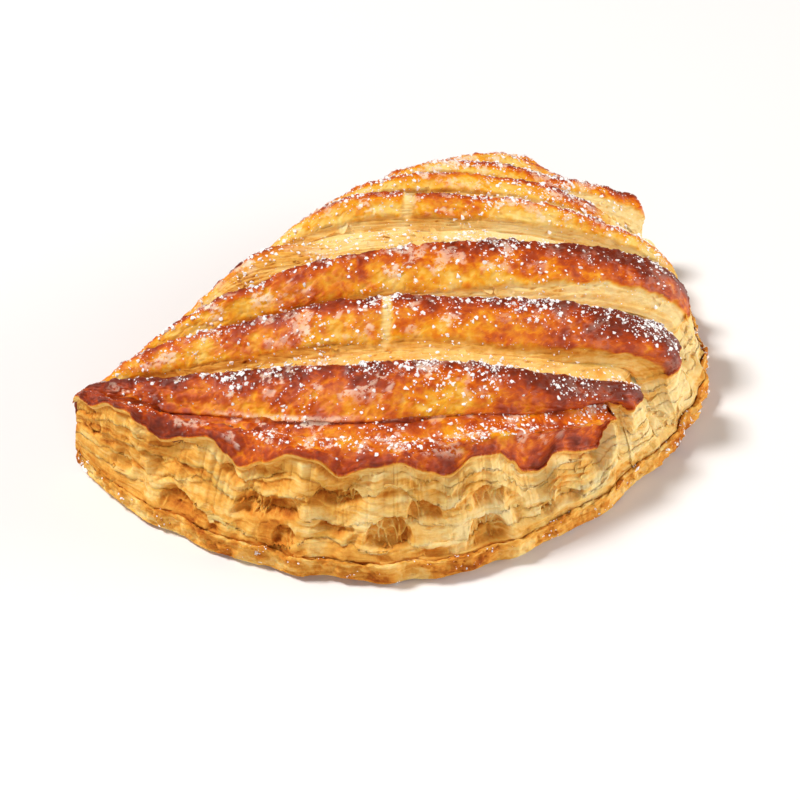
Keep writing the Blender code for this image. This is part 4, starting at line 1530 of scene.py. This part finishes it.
class TurnoverStageSettings(bpy.types.PropertyGroup):
    """The table, the studio light and the camera"""

    table: FloatVectorProperty(
        name="Table", description="Colour of the table", subtype="COLOR", size=4, min=0, max=1,
        default=(0.88, 0.865, 0.86, 1.0),
    )
    key_power: FloatProperty(
        name="Key Light", description="Power of the light from behind on the left", default=46.0, min=0,
        unit="POWER",
    )
    front_power: FloatProperty(
        name="Front Light", description="Power of the light from the camera's side", default=5.5, min=0,
        unit="POWER",
    )
    fill_power: FloatProperty(
        name="Fill Light", description="Power of the light on the right end", default=24.0, min=0,
        unit="POWER",
    )
    lens: FloatProperty(
        name="Lens", description="The camera's focal length", default=95.75, min=20, unit="CAMERA",
    )


class TURNOVER_OT_bake_crust(bpy.types.Operator):
    """Makes the sliced, glazed top crust in three closed pieces"""

    bl_idname = "turnover.bake_crust"
    bl_label = "Bake the Top Crust"

    def execute(self, context):
        for name, first_ridge, last_ridge, rows_per_ridge in CRUST_PIECES:
            hand_over(build_crust(name, first_ridge, last_ridge, rows_per_ridge), pastry_material())
        return {"FINISHED"}


class TURNOVER_OT_cut_side(bpy.types.Operator):
    """Makes the cut side with its leaves, pockets and base rim in two closed pieces"""

    bl_idname = "turnover.cut_side"
    bl_label = "Cut the Side"

    def execute(self, context):
        for name, from_degrees, to_degrees in SIDE_PIECES:
            hand_over(build_side(name, from_degrees, to_degrees), pastry_material())
        return {"FINISHED"}


class TURNOVER_OT_close_underside(bpy.types.Operator):
    """Makes the underside that the pastry lies on"""

    bl_idname = "turnover.close_underside"
    bl_label = "Close the Underside"

    def execute(self, context):
        hand_over(build_underside(), pastry_material())
        return {"FINISHED"}


class TURNOVER_OT_loosen_flakes(bpy.types.Operator):
    """Lays loose flakes on the pale dough"""

    bl_idname = "turnover.loosen_flakes"
    bl_label = "Loosen Flakes"

    def execute(self, context):
        hand_over(build_flakes(dusted_pieces()), pastry_material())
        return {"FINISHED"}


class TURNOVER_OT_dust_sugar(bpy.types.Operator):
    """Dusts the crust with clumps and fine grains of icing sugar"""

    bl_idname = "turnover.dust_sugar"
    bl_label = "Dust with Icing Sugar"

    def execute(self, context):
        dust = context.scene.turnover_sugar
        clumps = build_sugar("sugar_clumps", dust.clumps, 0.45 * MM, dust.largest_clump, dust.seed)
        grains = build_sugar("sugar_grains", dust.grains, 0.18 * MM, dust.largest_grain, dust.seed + 12)
        hand_over(clumps, sugar_material())
        hand_over(grains, sugar_material())
        return {"FINISHED"}


class TURNOVER_OT_set_stage(bpy.types.Operator):
    """Sets the white table, the soft studio light and the camera"""

    bl_idname = "turnover.set_stage"
    bl_label = "Set the Stage"

    def execute(self, context):
        build_stage()
        return {"FINISHED"}


class TURNOVER_PT_panel(bpy.types.Panel):
    """The turnover's steps and settings"""

    bl_idname = "TURNOVER_PT_panel"
    bl_label = "Baked Turnover"
    bl_space_type = "VIEW_3D"
    bl_region_type = "UI"
    bl_category = "Turnover"

    def draw(self, context):
        column = self.layout.column()
        for group, operators in PANEL_ROWS:
            settings = getattr(context.scene, group)
            for key in settings.__annotations__:
                column.prop(settings, key)
            for operator in operators:
                column.operator(operator)
            column.separator()


PANEL_ROWS = (
    ("turnover_colours", ()),
    ("turnover_crust", ("turnover.bake_crust",)),
    ("turnover_side", ("turnover.cut_side", "turnover.close_underside")),
    ("turnover_sugar", ("turnover.loosen_flakes", "turnover.dust_sugar")),
    ("turnover_stage", ("turnover.set_stage",)),
)
SETTINGS = {
    "turnover_colours": TurnoverColourSettings,
    "turnover_crust": TurnoverCrustSettings,
    "turnover_side": TurnoverSideSettings,
    "turnover_sugar": TurnoverSugarSettings,
    "turnover_stage": TurnoverStageSettings,
}
STEPS = (
    TURNOVER_OT_bake_crust,
    TURNOVER_OT_cut_side,
    TURNOVER_OT_close_underside,
    TURNOVER_OT_loosen_flakes,
    TURNOVER_OT_dust_sugar,
    TURNOVER_OT_set_stage,
    TURNOVER_PT_panel,
)


def register():
    for name, settings in SETTINGS.items():
        bpy.utils.register_class(settings)
        setattr(bpy.types.Scene, name, PointerProperty(type=settings))
    for step in STEPS:
        bpy.utils.register_class(step)


def unregister():
    for step in reversed(STEPS):
        bpy.utils.unregister_class(step)
    for name, settings in SETTINGS.items():
        delattr(bpy.types.Scene, name)
        bpy.utils.unregister_class(settings)


def main():
    register()
    bpy.ops.turnover.bake_crust()
    bpy.ops.turnover.cut_side()
    bpy.ops.turnover.close_underside()
    bpy.ops.turnover.loosen_flakes()
    bpy.ops.turnover.dust_sugar()
    bpy.ops.turnover.set_stage()
    bpy.context.view_layer.update()


if __name__ == "__main__":
    main()
